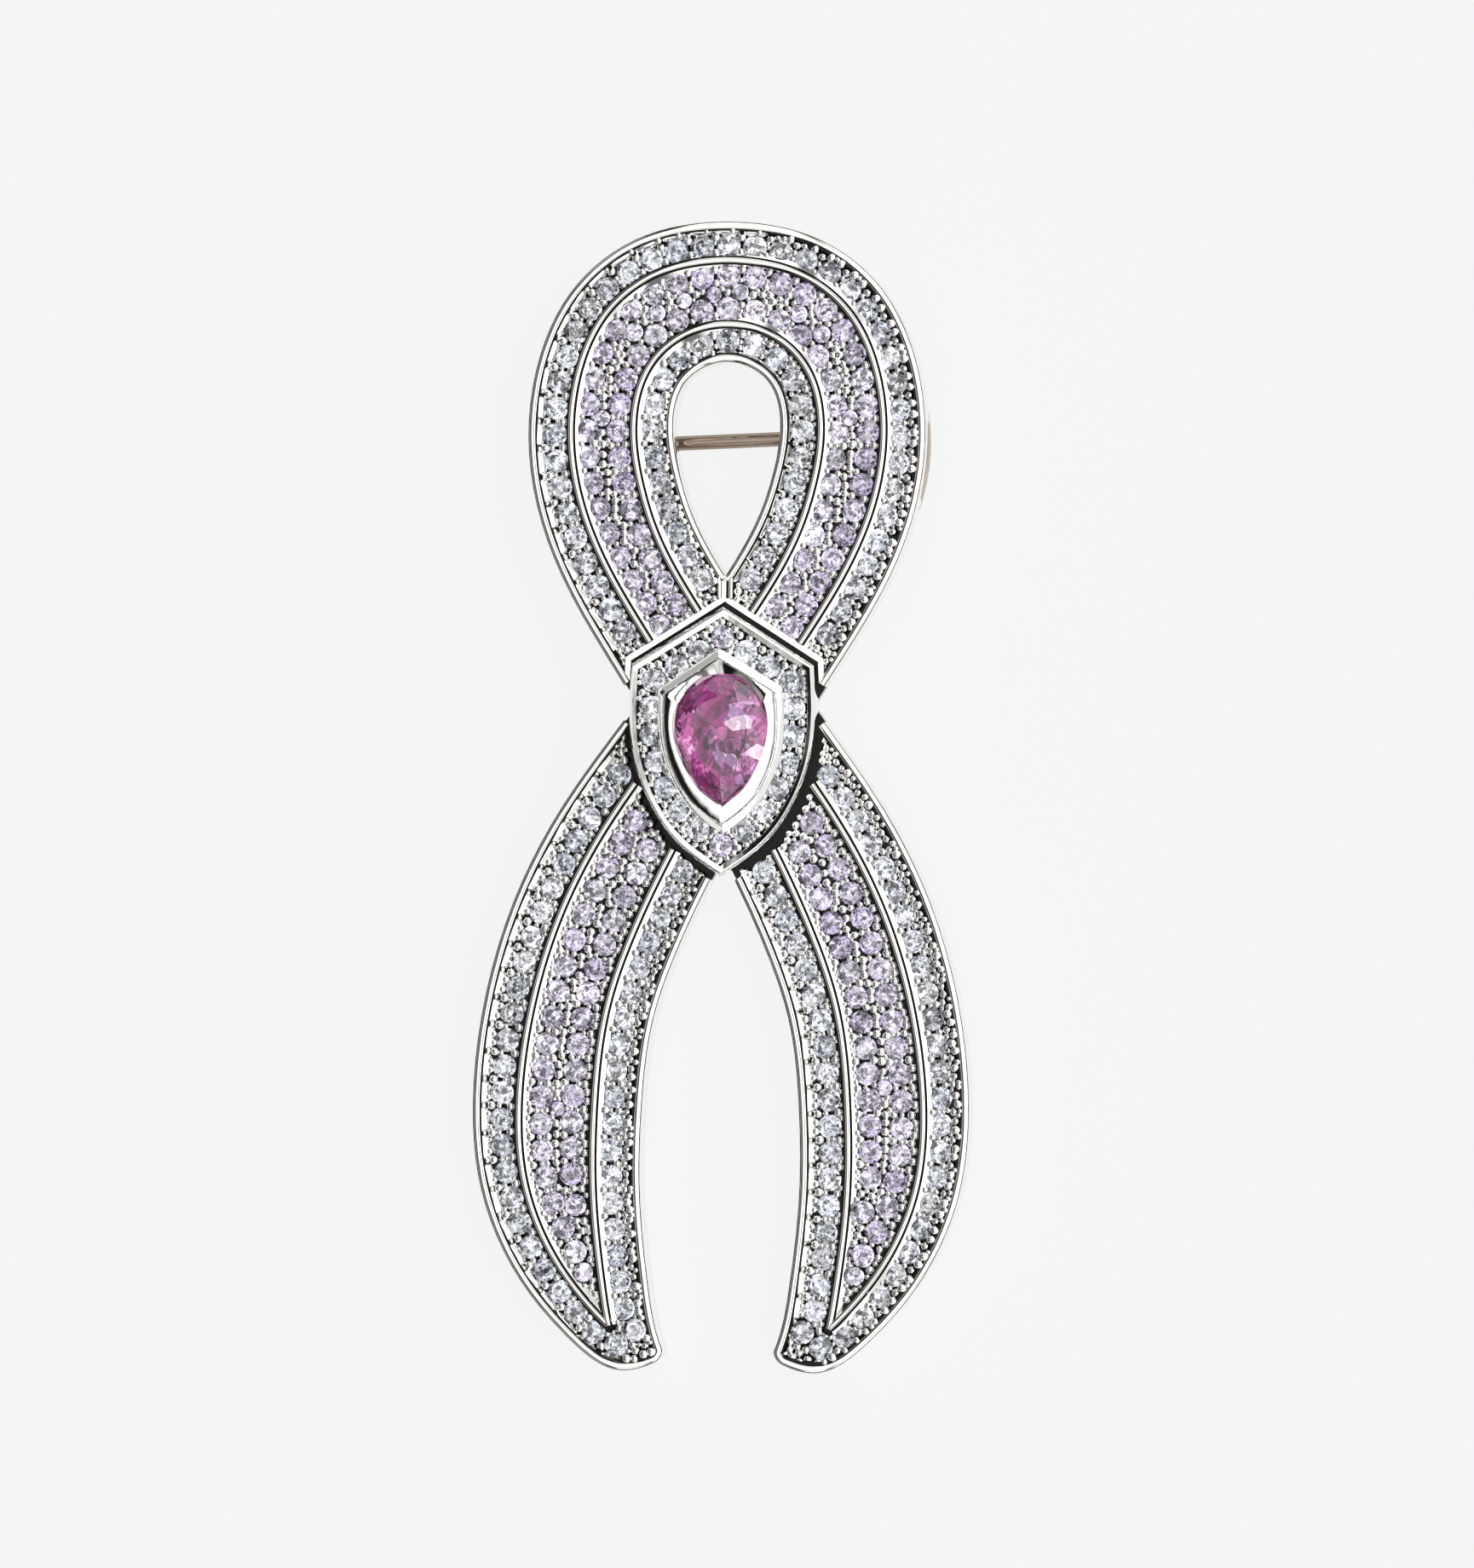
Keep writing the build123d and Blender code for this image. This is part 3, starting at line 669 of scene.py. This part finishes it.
def cut_gem(outline, centre, table, crown, girdle, pavilion):
    """A brilliant cut over an outline of an even number of points, its pavilion brought to a point."""
    bm = bmesh.new()
    mains = outline[::2]
    halves = outline[1::2]
    star_height = girdle + crown * 0.52

    def ring(points, scale, height):
        return [bm.verts.new((*(centre + (p - centre) * scale), height)) for p in points]

    top = ring(mains, table, girdle + crown)
    stars = ring(halves, (table + 1) / 2 + 0.02, star_height)
    upper = ring(outline, 1, girdle)
    lower = ring(outline, 1, 0)
    deep = ring(halves, 0.3, -pavilion * 0.72)
    culet = bm.verts.new((*centre, -pavilion))
    n = len(mains)
    bm.faces.new(top)
    for k in range(n):
        j = (k + 1) % n
        around = [(2 * k) % (2 * n), (2 * k + 1) % (2 * n), (2 * k + 2) % (2 * n)]
        bm.faces.new([top[k], top[j], stars[k]])
        bm.faces.new([top[k], stars[k], upper[around[0]], stars[k - 1]])
        bm.faces.new([lower[around[0]], deep[k - 1], culet, deep[k]])
        for a, b in zip(around[:-1], around[1:]):
            bm.faces.new([stars[k], upper[b], upper[a]])
            bm.faces.new([upper[a], upper[b], lower[b], lower[a]])
            bm.faces.new([lower[a], lower[b], deep[k]])
    bmesh.ops.recalc_face_normals(bm, faces=bm.faces)
    return bm


def round_outline(radius, count):
    """Points round a circle."""
    angles = np.arange(count) * 2 * math.pi / count
    return radius * np.stack([np.cos(angles), np.sin(angles)], axis=1)


def pear_loop(width, length, count):
    """Points round a pear, clockwise from the middle of its round end."""
    side = Curve([(x * width / 2, y * length / 2) for x, y in PEAR_CURVE], (1, 0), (-0.75, -1))
    right = spaced(side.at(np.linspace(0, 1, 200)), 1e-3)
    right = right[np.linspace(0, len(right) - 1, count // 2 + 1).round().astype(int)]
    return np.concatenate([right, mirrored(right)[-2:0:-1]])


SMALL_CUT = cut_gem(
    round_outline(shown_radius, 16), np.zeros(2), table=0.56, crown=0.2, girdle=0.04, pavilion=shown_depth
)
SMALL_GEM = new_mesh("small_gem", SMALL_CUT)


def islands(mesh):
    """The middle, girdle level and shown radius of each loose stone of a mesh, seen flat."""
    bm = bmesh.new()
    bm.from_mesh(mesh)
    bmesh.ops.remove_doubles(bm, verts=bm.verts, dist=1e-6)
    left = set(bm.verts)
    found = []
    while left:
        group, edge = set(), [left.pop()]
        while edge:
            vert = edge.pop()
            group.add(vert)
            for link in vert.link_edges:
                other = link.other_vert(vert)
                if other in left:
                    left.discard(other)
                    edge.append(other)
        flat = [LAID.inverted() @ v.co for v in group]
        lowest = min(flat, key=lambda v: v.z)
        found.append((lowest.x, lowest.y, lowest.z + stone_depth, shown_radius))
    bm.free()
    return sorted(found)


def set_gems(name, node, places, material, second=None):
    """Brilliant-cut stones at places, each turned and tipped a little as a setter leaves it.

    Those near the middle line get the second material, where there is one.
    """
    matrices = []
    for x, y, z, radius in places:
        turn = Matrix.Rotation(random.uniform(0, math.pi / 4), 4, "Z")
        tip = Matrix.Rotation(random.uniform(-most_tip, most_tip), 4, "X")
        tip @= Matrix.Rotation(random.uniform(-most_tip, most_tip), 4, "Y")
        scale = radius / shown_radius
        size = Matrix.Diagonal((scale, scale, scale, 1))
        matrices.append(Matrix.Translation((x, y, z)) @ tip @ turn @ size)
    bm = scattered(bmesh.new(), SMALL_GEM, matrices)
    if second:
        for face in bm.faces:
            face.material_index = abs(face.calc_center_median().x) < middle_half_width
    piece = finished(bm, name, material, smooth=0, second=second)
    if node:
        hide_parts(node)


FIELDS = {
    "loop_outer_stones": (PALE, "pale_stones"),
    "loop_inner_stones": (PALE, "pale_stones"),
    "loop_centre_stones": (LILAC, "lilac_stones"),
    "left_tail_outer_stones": (PALE, "pale_stones"),
    "left_tail_inner_stones": (PALE, "pale_stones"),
    "right_tail_outer_stones": (PALE, "pale_stones"),
    "right_tail_inner_stones": (PALE, "pale_stones"),
    "shield_stones": (PALE, "pale_stones"),
}


def tail_centre_places(taken):
    """The stones of the left tail's centre field, clear of the shield, the ridges and each other."""
    keep_out = grown_shield(stone_radius + stone_gap)
    walls = np.concatenate([spaced(line, wall_step) for line in tail_lines()])
    places = []
    for line in tail_lines(1, tail_centre_row):
        for p in spaced(line, stone_pitch):
            clear = all(math.dist(p, q) > 2 * stone_radius + stone_gap for q in places + taken)
            free = np.linalg.norm(walls - p, axis=1).min() > shown_radius + ridge_room
            if clear and free and not inside(p[None], keep_out)[0]:
                places.append(tuple(p))
    return places


def pear():
    """The pear sapphire, turned with its bezel."""
    outline = pear_loop(pear_width, pear_length, 20)
    bm = cut_gem(outline, np.array([0, 0.4]), table=0.6, crown=0.87, girdle=pear_girdle, pavilion=1.88)
    bmesh.ops.translate(bm, vec=(0, 0, pear_girdle_level - pear_girdle), verts=bm.verts)
    turn = Matrix.Rotation(math.radians(bezel_turn), 3, "Z")
    bmesh.ops.rotate(bm, cent=(0, 0, 0), matrix=turn, verts=bm.verts)
    piece = finished(bm, "pear_sapphire", PINK, smooth=0)
    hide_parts("pear_stone")


# Shield

bezel_turn = 1.7
pear_hold = 0.2
# Ring columns: how far the shield's loop, the bezel's loop or the pear's outline is grown, height
SHIELD_RIM = (
    (0.0, 2.8), (-0.01, 2.93), (-0.13, 3.12), (-0.16, 3.15), (-0.35, 3.12), (-0.37, 3.09),
    (-0.38, 2.7), (-0.48, 2.68), (-0.5, 2.2), (-1.55, 2.2), (-1.57, 2.68),
)
BEZEL_WALL = (
    (0.34, 2.7), (0.34, 3.28), (0.32, 3.32), (0.05, 3.52),
    (0.01, 3.58), (-0.01, 3.65), (-0.06, 3.67),
)
BEZEL_LIP = ((0.13 - pear_hold, 3.66), (-pear_hold, 3.57), (-pear_hold, 3.3), (-1.6, 1.6))
# How much lower the lip's first two rings lie at the pear's round end
BEZEL_DROPS = (0.12, 0.17)
drop_start = 2.2
drop_length = 1.2
channel_inset = 0.34
bezel_foot = 0.1
# The heights between which the channel's walls and floor are painted dark, as painted shade
CHANNEL_SHADE_LEVELS = (2.15, 2.75)


def level_ring(loop, height):
    """A flat loop's points at a height."""
    return [Vector((*p, height)) for p in loop]


def bezel_loop(growth):
    """The bezel's outline, grown by a distance measured at its sides."""
    scale = 1 + 2 * growth / bezel_width
    return shield_loop(bezel_width * scale, bezel_length / 2 * scale, bezel_length / 2 * scale)


def pear_at(loop, growth):
    """The pear's outline, grown, with a point in the direction of each of a loop's points."""
    dense = pear_loop(pear_width + 2 * growth, pear_length + 2 * growth, 400)
    turn = np.unwrap(np.arctan2(dense[:, 1], dense[:, 0]))
    order = np.argsort(turn)
    wanted = np.arctan2(loop[:, 1], loop[:, 0])
    points = [np.interp(wanted, turn[order], dense[order, i], period=2 * math.pi) for i in (0, 1)]
    return np.stack(points, axis=1)


def shield():
    """The raised shield: a bevelled rim, a sunk channel painted dark as painted shade, the pear's sloping
    bezel, and posts.
    """
    rings = [level_ring(grown_shield(0), shield_base)]
    rings += [level_ring(grown_shield(growth), height) for growth, height in SHIELD_RIM]
    count = len(rings)
    rings += [level_ring(bezel_loop(growth), height) for growth, height in BEZEL_WALL]
    around = bezel_loop(0)
    rings += [level_ring(pear_at(around, growth), height) for growth, height in BEZEL_LIP]
    for ring, drop in zip(rings[-4:-2], BEZEL_DROPS):
        for point in ring:
            point.z -= drop * min(max((point.y - drop_start) / drop_length, 0), 1)
    turn = Matrix.Rotation(math.radians(bezel_turn), 3, "Z")
    rings = rings[:count] + [[turn @ p for p in ring] for ring in rings[count:]]
    bm = bmesh.new()
    loft(bm, rings)
    lowest, highest = CHANNEL_SHADE_LEVELS
    for face in bm.faces:
        if lowest < face.calc_center_median().z < highest:
            face.material_index = 1
    for side in (-1, 1):
        place = Matrix.Translation((0, side * post_spacing / 2, (post_foot + post_top) / 2))
        bmesh.ops.create_cone(
            bm, cap_ends=True, segments=24, radius1=post_radius, radius2=post_radius,
            depth=post_top - post_foot, matrix=place,
        )
    piece = finished(bm, "shield", SHIELD_GOLD, smooth=30, second=CHANNEL_SHADE)
    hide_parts("shield_setting")


# Grains and bright cuts

def cast_face():
    """The cast ribbon body, kept for looking up how high it stands at a place."""
    bm = bmesh.new()
    bm.from_mesh(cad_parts["ribbon_body"].data)
    tree = BVHTree.FromBMesh(bm)
    bm.free()
    return tree


CAST_FACE = cast_face()


def ground_height(x, y):
    """The height of the cast ribbon body at a place, 0 beside it."""
    start = LAID @ Vector((x, y, 3))
    down = (LAID @ Vector((x, y, 0)) - start).normalized()
    hit = CAST_FACE.ray_cast(start, down)[0]
    return (LAID.inverted() @ hit).z if hit else 0.0


def on_wall(x, y, size, stone):
    """Whether a grain to the right of its stone rests on the wall of the stone's channel."""
    if x - stone[0] < least_right * math.dist((x, y), stone):
        return False
    reach = size * 0.8
    around = [(0, 0), (reach, 0), (-reach, 0), (0, reach), (0, -reach)]
    return any(ground_height(x + dx, y + dy) > wall_height for dx, dy in around)


def grain_template():
    """A grain of metal: a ball without its buried underside."""
    bm = bmesh.new()
    bmesh.ops.create_icosphere(bm, subdivisions=2, radius=1)
    parts = list(bm.verts) + list(bm.edges) + list(bm.faces)
    bmesh.ops.bisect_plane(bm, geom=parts, plane_co=(0, 0, -0.1), plane_no=(0, 0, -1), clear_outer=True)
    bmesh.ops.holes_fill(bm, edges=[e for e in bm.edges if e.is_boundary], sides=0)
    return new_mesh("grain", bm)


GRAIN = grain_template()
grain_level = 1.72
raised_grain_level = 1.97
largest_grain = 0.24
smallest_grain = 0.06
grain_search = 0.08
grain_room = 0.3
grain_scatter = 0.03
wall_height = 1.8
cut_length = 1.18
cut_foot = 1.5
cut_height = 0.54
cut_room = 0.14
cut_overlap = 0.04
# Where cuts start, from the ribbon's edge, how far off their stone may be, and their least and greatest reach
cut_line = 0.44
cut_farthest = 1.35
cut_reaches = (0.16, 0.4)
# How far to the right of its stone a raised grain lies at least, and how far to the left of its wall a stone
# with a cut lies at most, as shares of the distance
least_right = 0.1
cut_left = 0.1
rim_inside = 0.38
web_room = 0.42
slope_turn = 0.4
slope_shift = 0.06


def cut_template():
    """A bright cut: a block whose top falls from its wall, at y = 0, towards the stone, at y = 1."""
    bm = bmesh.new()
    bmesh.ops.create_cube(bm, size=1, matrix=Matrix.Translation((0, 0.5, 0.5)))
    for vert in bm.verts:
        if vert.co.z > 0.5:
            vert.co.z = 1.0 if vert.co.y < 0.5 else 0.3
    tops = [e for e in bm.edges if all(v.co.z > 0.2 for v in e.verts)]
    bmesh.ops.bevel(bm, geom=tops, offset=0.14, segments=2, profile=0.5, affect="EDGES", material=-1)
    return new_mesh("cut_block", bm)


CUT_BLOCK = cut_template()


def block_at(wall, stone, along, length):
    """The placing of a bright cut between a point on a wall and a point beside a stone."""
    reach = np.linalg.norm(stone - wall)
    across = (stone - wall) / reach
    direction = along - across * (along @ across)
    direction /= np.linalg.norm(direction)
    if direction[0] * across[1] - direction[1] * across[0] < 0:
        direction = -direction
    x = Vector((*direction * length, 0))
    y = Vector((*across * reach, 0))
    z = Vector((0, 0, cut_height))
    return Matrix.Translation((*wall, cut_foot)) @ Matrix((x, y, z)).transposed().to_4x4()


def bright_cuts(places):
    """Bright cuts between the ribbon's rim and the stones close to it on its right."""
    lines = [(beside(border, 0, cut_line), "loop" in border) for border in STRETCHES]
    matrices = []
    for x, y, *_ in places:
        spot = np.array((abs(x), y)) if y > 0 else np.array((-abs(x), y))
        sign = np.sign(x) if y > 0 else -np.sign(x)
        for points, on_loop in lines:
            if on_loop != (y > 0):
                continue
            gaps = np.linalg.norm(points - spot, axis=1)
            gap = gaps.min()
            wall = points[gaps.argmin()]
            across = (spot - wall) / gap
            if gap >= cut_farthest or across[0] * (sign or 1) < -cut_left:
                continue
            reach = min(max(gap - stone_radius + cut_overlap, cut_reaches[0]), cut_reaches[1])
            stone = wall + across * reach
            along = turned(across)
            if sign:
                wall, stone, along = wall * (sign, 1), stone * (sign, 1), along * (sign, 1)
            matrices.append(block_at(wall, stone, along, cut_length * random.uniform(0.94, 1.04)))
    return matrices


def ribbon_regions():
    """The parts of the face that hold grains, each as a loop around it and the loops left out of it."""
    outer = both_sides(outside_pocket(beside("loop_outer", 0, rim_inside)))
    tail = tail_field(0, rim_inside)
    low, high = shield_top, hole_bottom + 0.1
    web = np.array([(-web_room, low), (web_room, low), (web_room, high), (-web_room, high)])
    return [(outer, [hole_loop(rim_inside), POCKET, web]), (tail, [POCKET]), (mirrored(tail), [POCKET])]


def slope_lines():
    """The lines of all ridges, moved a little to the right, over their wider slopes."""
    lines = []
    for line in ridge_lines():
        across = turned(directions(line))
        lines.append(line + across * np.clip(across[:, :1] / slope_turn, -1, 1) * slope_shift)
    return lines


def room_to(points, targets, radius):
    """How far points lie from the nearest of some targets, less a radius."""
    tree = KDTree(len(targets))
    for i, (x, y) in enumerate(targets):
        tree.insert((x, y, 0), i)
    tree.balance()
    return np.array([tree.find((x, y, 0))[2] for x, y in points]) - radius


def free_room(regions, stones, walls, wall_room, edge_room):
    """Spots all over some regions, and the room that each has to the nearest stone, wall or edge."""
    all_spots, all_room = [], []
    for around, left_out in regions:
        low, high = around.min(axis=0), around.max(axis=0)
        grid = np.stack(np.meshgrid(*[np.arange(a, b, grain_search) for a, b in zip(low, high)]), axis=-1)
        spots = grid.reshape(-1, 2)
        spots = spots + np.random.default_rng(5).uniform(-grain_scatter, grain_scatter, spots.shape)
        spots = spots[inside(spots, around)]
        for loop in left_out:
            spots = spots[~inside(spots, loop)]
        edges = np.concatenate([spaced(edge, wall_step, True) for edge in [around] + left_out])
        room = np.minimum(room_to(spots, stones, shown_radius), room_to(spots, edges, edge_room))
        if walls:
            points = np.concatenate([spaced(wall, wall_step) for wall in walls])
            room = np.minimum(room, room_to(spots, points, wall_room))
        all_spots.append(spots)
        all_room.append(room)
    return np.concatenate(all_spots), np.concatenate(all_room)


def fill(spots, room, smallest, largest, share, add, keep):
    """Places and sizes of round things set into the free room, the widest room first."""
    found = []
    while True:
        i = int(room.argmax())
        if room[i] < smallest:
            return found
        size = min(room[i] * share + add, largest)
        found.append((*spots[i], size))
        room = np.minimum(room, np.linalg.norm(spots - spots[i], axis=1) - size * keep)


def centre_fields():
    """The centre fields, as a loop around each."""
    outer, inner = loop_ridge("loop_outer"), loop_ridge("loop_inner")
    tail = tail_field()
    return [np.concatenate([outer, inner[::-1]]), tail, mirrored(tail)]


def filling_stones(stones):
    """Smaller stones where the rows leave room for them. Returns them by colour: pale, lilac."""
    spots, room = free_room(ribbon_regions(), stones, ridge_lines(), wall_room=0.34, edge_room=0.06)
    found = fill(spots, room, smallest=0.4, largest=shown_radius, share=1.0, add=0.0, keep=2.0)
    fields = centre_fields()
    sorted_out = [[], []]
    for x, y, size in found:
        lilac = any(inside(np.array([(x, y)]), field)[0] for field in fields)
        girdle = floor_level + stone_clearance + shown_depth * size / shown_radius
        sorted_out[lilac].append((x, y, girdle, size))
    return sorted_out


def grains(name, regions, stones, extra, cuts, walls, level, edge_room):
    """Grains raised in all the room between the stones of some regions, the widest room first."""
    spots, room = free_room(regions, stones, walls, grain_room, edge_room)
    if cuts:
        marks = [(cut @ Vector((x, 0.5, 0)))[:2] for cut in cuts for x in (-0.4, 0, 0.4)]
        room = np.minimum(room, room_to(spots, marks, cut_room))
    for x, y, _, size in extra:
        room = np.minimum(room, np.linalg.norm(spots - (x, y), axis=1) - size)
    matrices = []
    for x, y, size in fill(spots, room, smallest_grain, largest_grain, share=1.25, add=0.05, keep=0.97):
        shape = Matrix.Diagonal((size, size * random.uniform(0.85, 1.1), size * random.uniform(0.9, 1.1), 1))
        turn = Matrix.Rotation(random.uniform(0, 3), 4, "Z")
        nearest = stones[np.linalg.norm(stones - (x, y), axis=1).argmin()]
        height = raised_grain_level if walls and on_wall(x, y, size, nearest) else level
        matrices.append(Matrix.Translation((x, y, height)) @ turn @ shape)
    finished(scattered(bmesh.new(), GRAIN, matrices), name, GRAIN_GOLD)


# Profile columns: distance from the ridge line, height
SLOPE = [(0.22, 1.45), (0.22, 1.89), (0.24, 1.91), (0.47, 1.79), (0.48, 1.73), (0.48, 1.45)]
narrowest_slope = 0.12
slope_step = 0.2


def bright_slopes():
    """The polished slopes that fall from both sides of every ridge, cut wide on the side that faces right."""
    bm = bmesh.new()
    for line in ridge_lines():
        line = spaced(line, slope_step)
        for side in (1, -1):
            across = turned(directions(line)) * side
            shares = np.clip((across[:, 0] + slope_turn) / (2 * slope_turn), narrowest_slope, 1)
            start = SLOPE[0][0]
            rings = []
            for p, a, share in zip(line, across, shares):
                rings.append([Vector((*(p + a * (start + (d - start) * share)), z)) for d, z in SLOPE])
            loft(bm, rings)
    finished(bm, "bright_slopes", CUT)


def main():
    """Builds the pieces, in the order that the random draws follow."""
    polished_rims()
    polished_ridges()
    pocket_lip()
    shield()
    pear()
    places = {}
    for node, (material, slot) in FIELDS.items():
        second = LILAC if node == "shield_stones" else None
        places[node] = islands(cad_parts[node].data)
        set_gems(node + "_cut", node, places[node], material, second)
    taken = [p[:2] for node in ("left_tail_outer_stones", "left_tail_inner_stones") for p in places[node]]
    left = tail_centre_places(taken)
    for side, name in ((1, "left_tail"), (-1, "right_tail")):
        centre = []
        for x, y in left:
            girdle = max(girdle_level, ground_height(x * side, y) + stone_clearance + shown_depth)
            centre.append((x * side, y, girdle, shown_radius))
        places[name + "_centre"] = centre
        set_gems(name + "_centre_stones_cut", None, centre, LILAC)
    ribbon_spots = [p for name, spots in places.items() if name != "shield_stones" for p in spots]
    cuts = bright_cuts(ribbon_spots)
    finished(scattered(bmesh.new(), CUT_BLOCK, cuts), "bright_cuts", CUT)
    bright_slopes()
    stones = np.array([p[:2] for p in ribbon_spots])
    pale, lilac = filling_stones(stones)
    set_gems("pale_filling_stones", None, pale, PALE)
    set_gems("lilac_filling_stones", None, lilac, LILAC)
    regions, filling = ribbon_regions(), pale + lilac
    grains("ribbon_grains", regions, stones, filling, cuts, slope_lines(), grain_level, edge_room=0.0)
    ring = np.array([p[:2] for p in places["shield_stones"]])
    channel = [(grown_shield(-channel_inset), [bezel_loop(bezel_foot)])]
    level = shield_floor + grain_level - floor_level
    grains("shield_grains", channel, ring, [], [], [], level, edge_room=0.05)
    for name, material in (("ribbon_body", CAST), ("hinge_rivet", POLISHED), ("pin_stem", STEM)):
        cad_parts[name].data.materials.clear()
        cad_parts[name].data.materials.append(material)


main()

# Floor, light and camera

photo_scale = 23.0
photo_size = (1730, 1840)
axis_place = (854, 870)
axis_lean = 0.0094
turn_right = math.radians(6)
camera_distance = 0.5


def floor():
    """The stage: a wide pale sheet that glows, so that it shows no edge and only faint shadows."""
    bm = bmesh.new()
    bmesh.ops.create_grid(bm, x_segments=1, y_segments=1, size=3)
    mesh = new_mesh("floor", bm)
    plane = bpy.data.objects.new("floor", mesh)
    bpy.context.scene.collection.objects.link(plane)
    material, tree, shader = new_material("pale_floor")
    give(tree, shader, {"Base Color": (0.06, 0.06, 0.06, 1), "Roughness": 0.9, "Specular IOR Level": 0.0})
    give(tree, shader, {"Emission Color": (1, 1, 1, 1), "Emission Strength": 0.87})
    mesh.materials.append(material)


def strip_light(tree, value, stops):
    """A ramp of brightness over one direction of the room, from -1 to 1."""
    shift = add_node(tree, "MapRange", {"Value": value, "From Min": -1, "From Max": 1}).outputs["Result"]
    return colour_ramp(tree, shift, [(place, (bright, bright, bright)) for place, bright in stops], "LINEAR")


def studio():
    """The room: tall softboxes with dark gaps between them, brightest on the right and dark on the left."""
    world = bpy.data.worlds.new("studio")
    bpy.context.scene.world = world
    world.use_nodes = True
    tree = world.node_tree
    place = add_node(tree, "TexCoord").outputs["Generated"]
    split = add_node(tree, "SeparateXYZ", {0: place}).outputs
    across = strip_light(tree, split["X"], (
        (0.0, 0.05), (0.1, 0.08), (0.14, 0.4), (0.26, 0.3), (0.3, 0.01), (0.37, 0.01), (0.4, 1.05),
        (0.5, 1.1), (0.58, 1.1), (0.61, 0.2), (0.65, 0.2), (0.68, 1.7), (0.95, 1.8), (1.0, 1.2),
    ))
    along = strip_light(tree, split["Y"], (
        (0.0, 0.9), (0.12, 1.0), (0.22, 0.45), (0.34, 1.05), (0.5, 1.1),
        (0.64, 1.05), (0.75, 0.4), (0.86, 1.3), (1.0, 1.2),
    ))
    both = {"Factor": 1.0, 6: across, 7: along}
    both = add_node(tree, "Mix", both, data_type="RGBA", blend_type="MULTIPLY").outputs[2]
    give(tree, tree.nodes["Background"], {"Color": both})


def camera():
    """The photograph's camera: square to the face but turned a little to the right of it."""
    upright = Matrix.Rotation(rest_angle, 3, "X")
    view = upright @ Matrix.Rotation(turn_right, 3, "Y")
    right, up, back = view.col[0], view.col[1], view.col[2]
    rolled_right = right * math.cos(axis_lean) + up * math.sin(axis_lean)
    rolled_up = up * math.cos(axis_lean) - right * math.sin(axis_lean)
    dx = photo_size[0] / 2 - axis_place[0]
    dy = photo_size[1] / 2 - axis_place[1]
    flat_x = (dx + dy * axis_lean) / photo_scale
    flat_y = -(dy - dx * axis_lean) / photo_scale
    target = LAID @ Vector((flat_x, flat_y, 0))
    data = bpy.data.cameras.new("camera")
    data.sensor_fit = "VERTICAL"
    data.sensor_height = 24
    data.lens = data.sensor_height * camera_distance / (photo_size[1] / photo_scale / 1000)
    data.clip_start = 0.01
    shot = bpy.data.objects.new("camera", data)
    turn = Matrix((rolled_right, rolled_up, back)).transposed().to_4x4()
    shot.matrix_world = Matrix.Translation(target + back * camera_distance) @ turn
    bpy.context.scene.collection.objects.link(shot)
    bpy.context.scene.camera = shot


floor()
studio()
camera()
bpy.context.scene.view_settings.view_transform = "Standard"
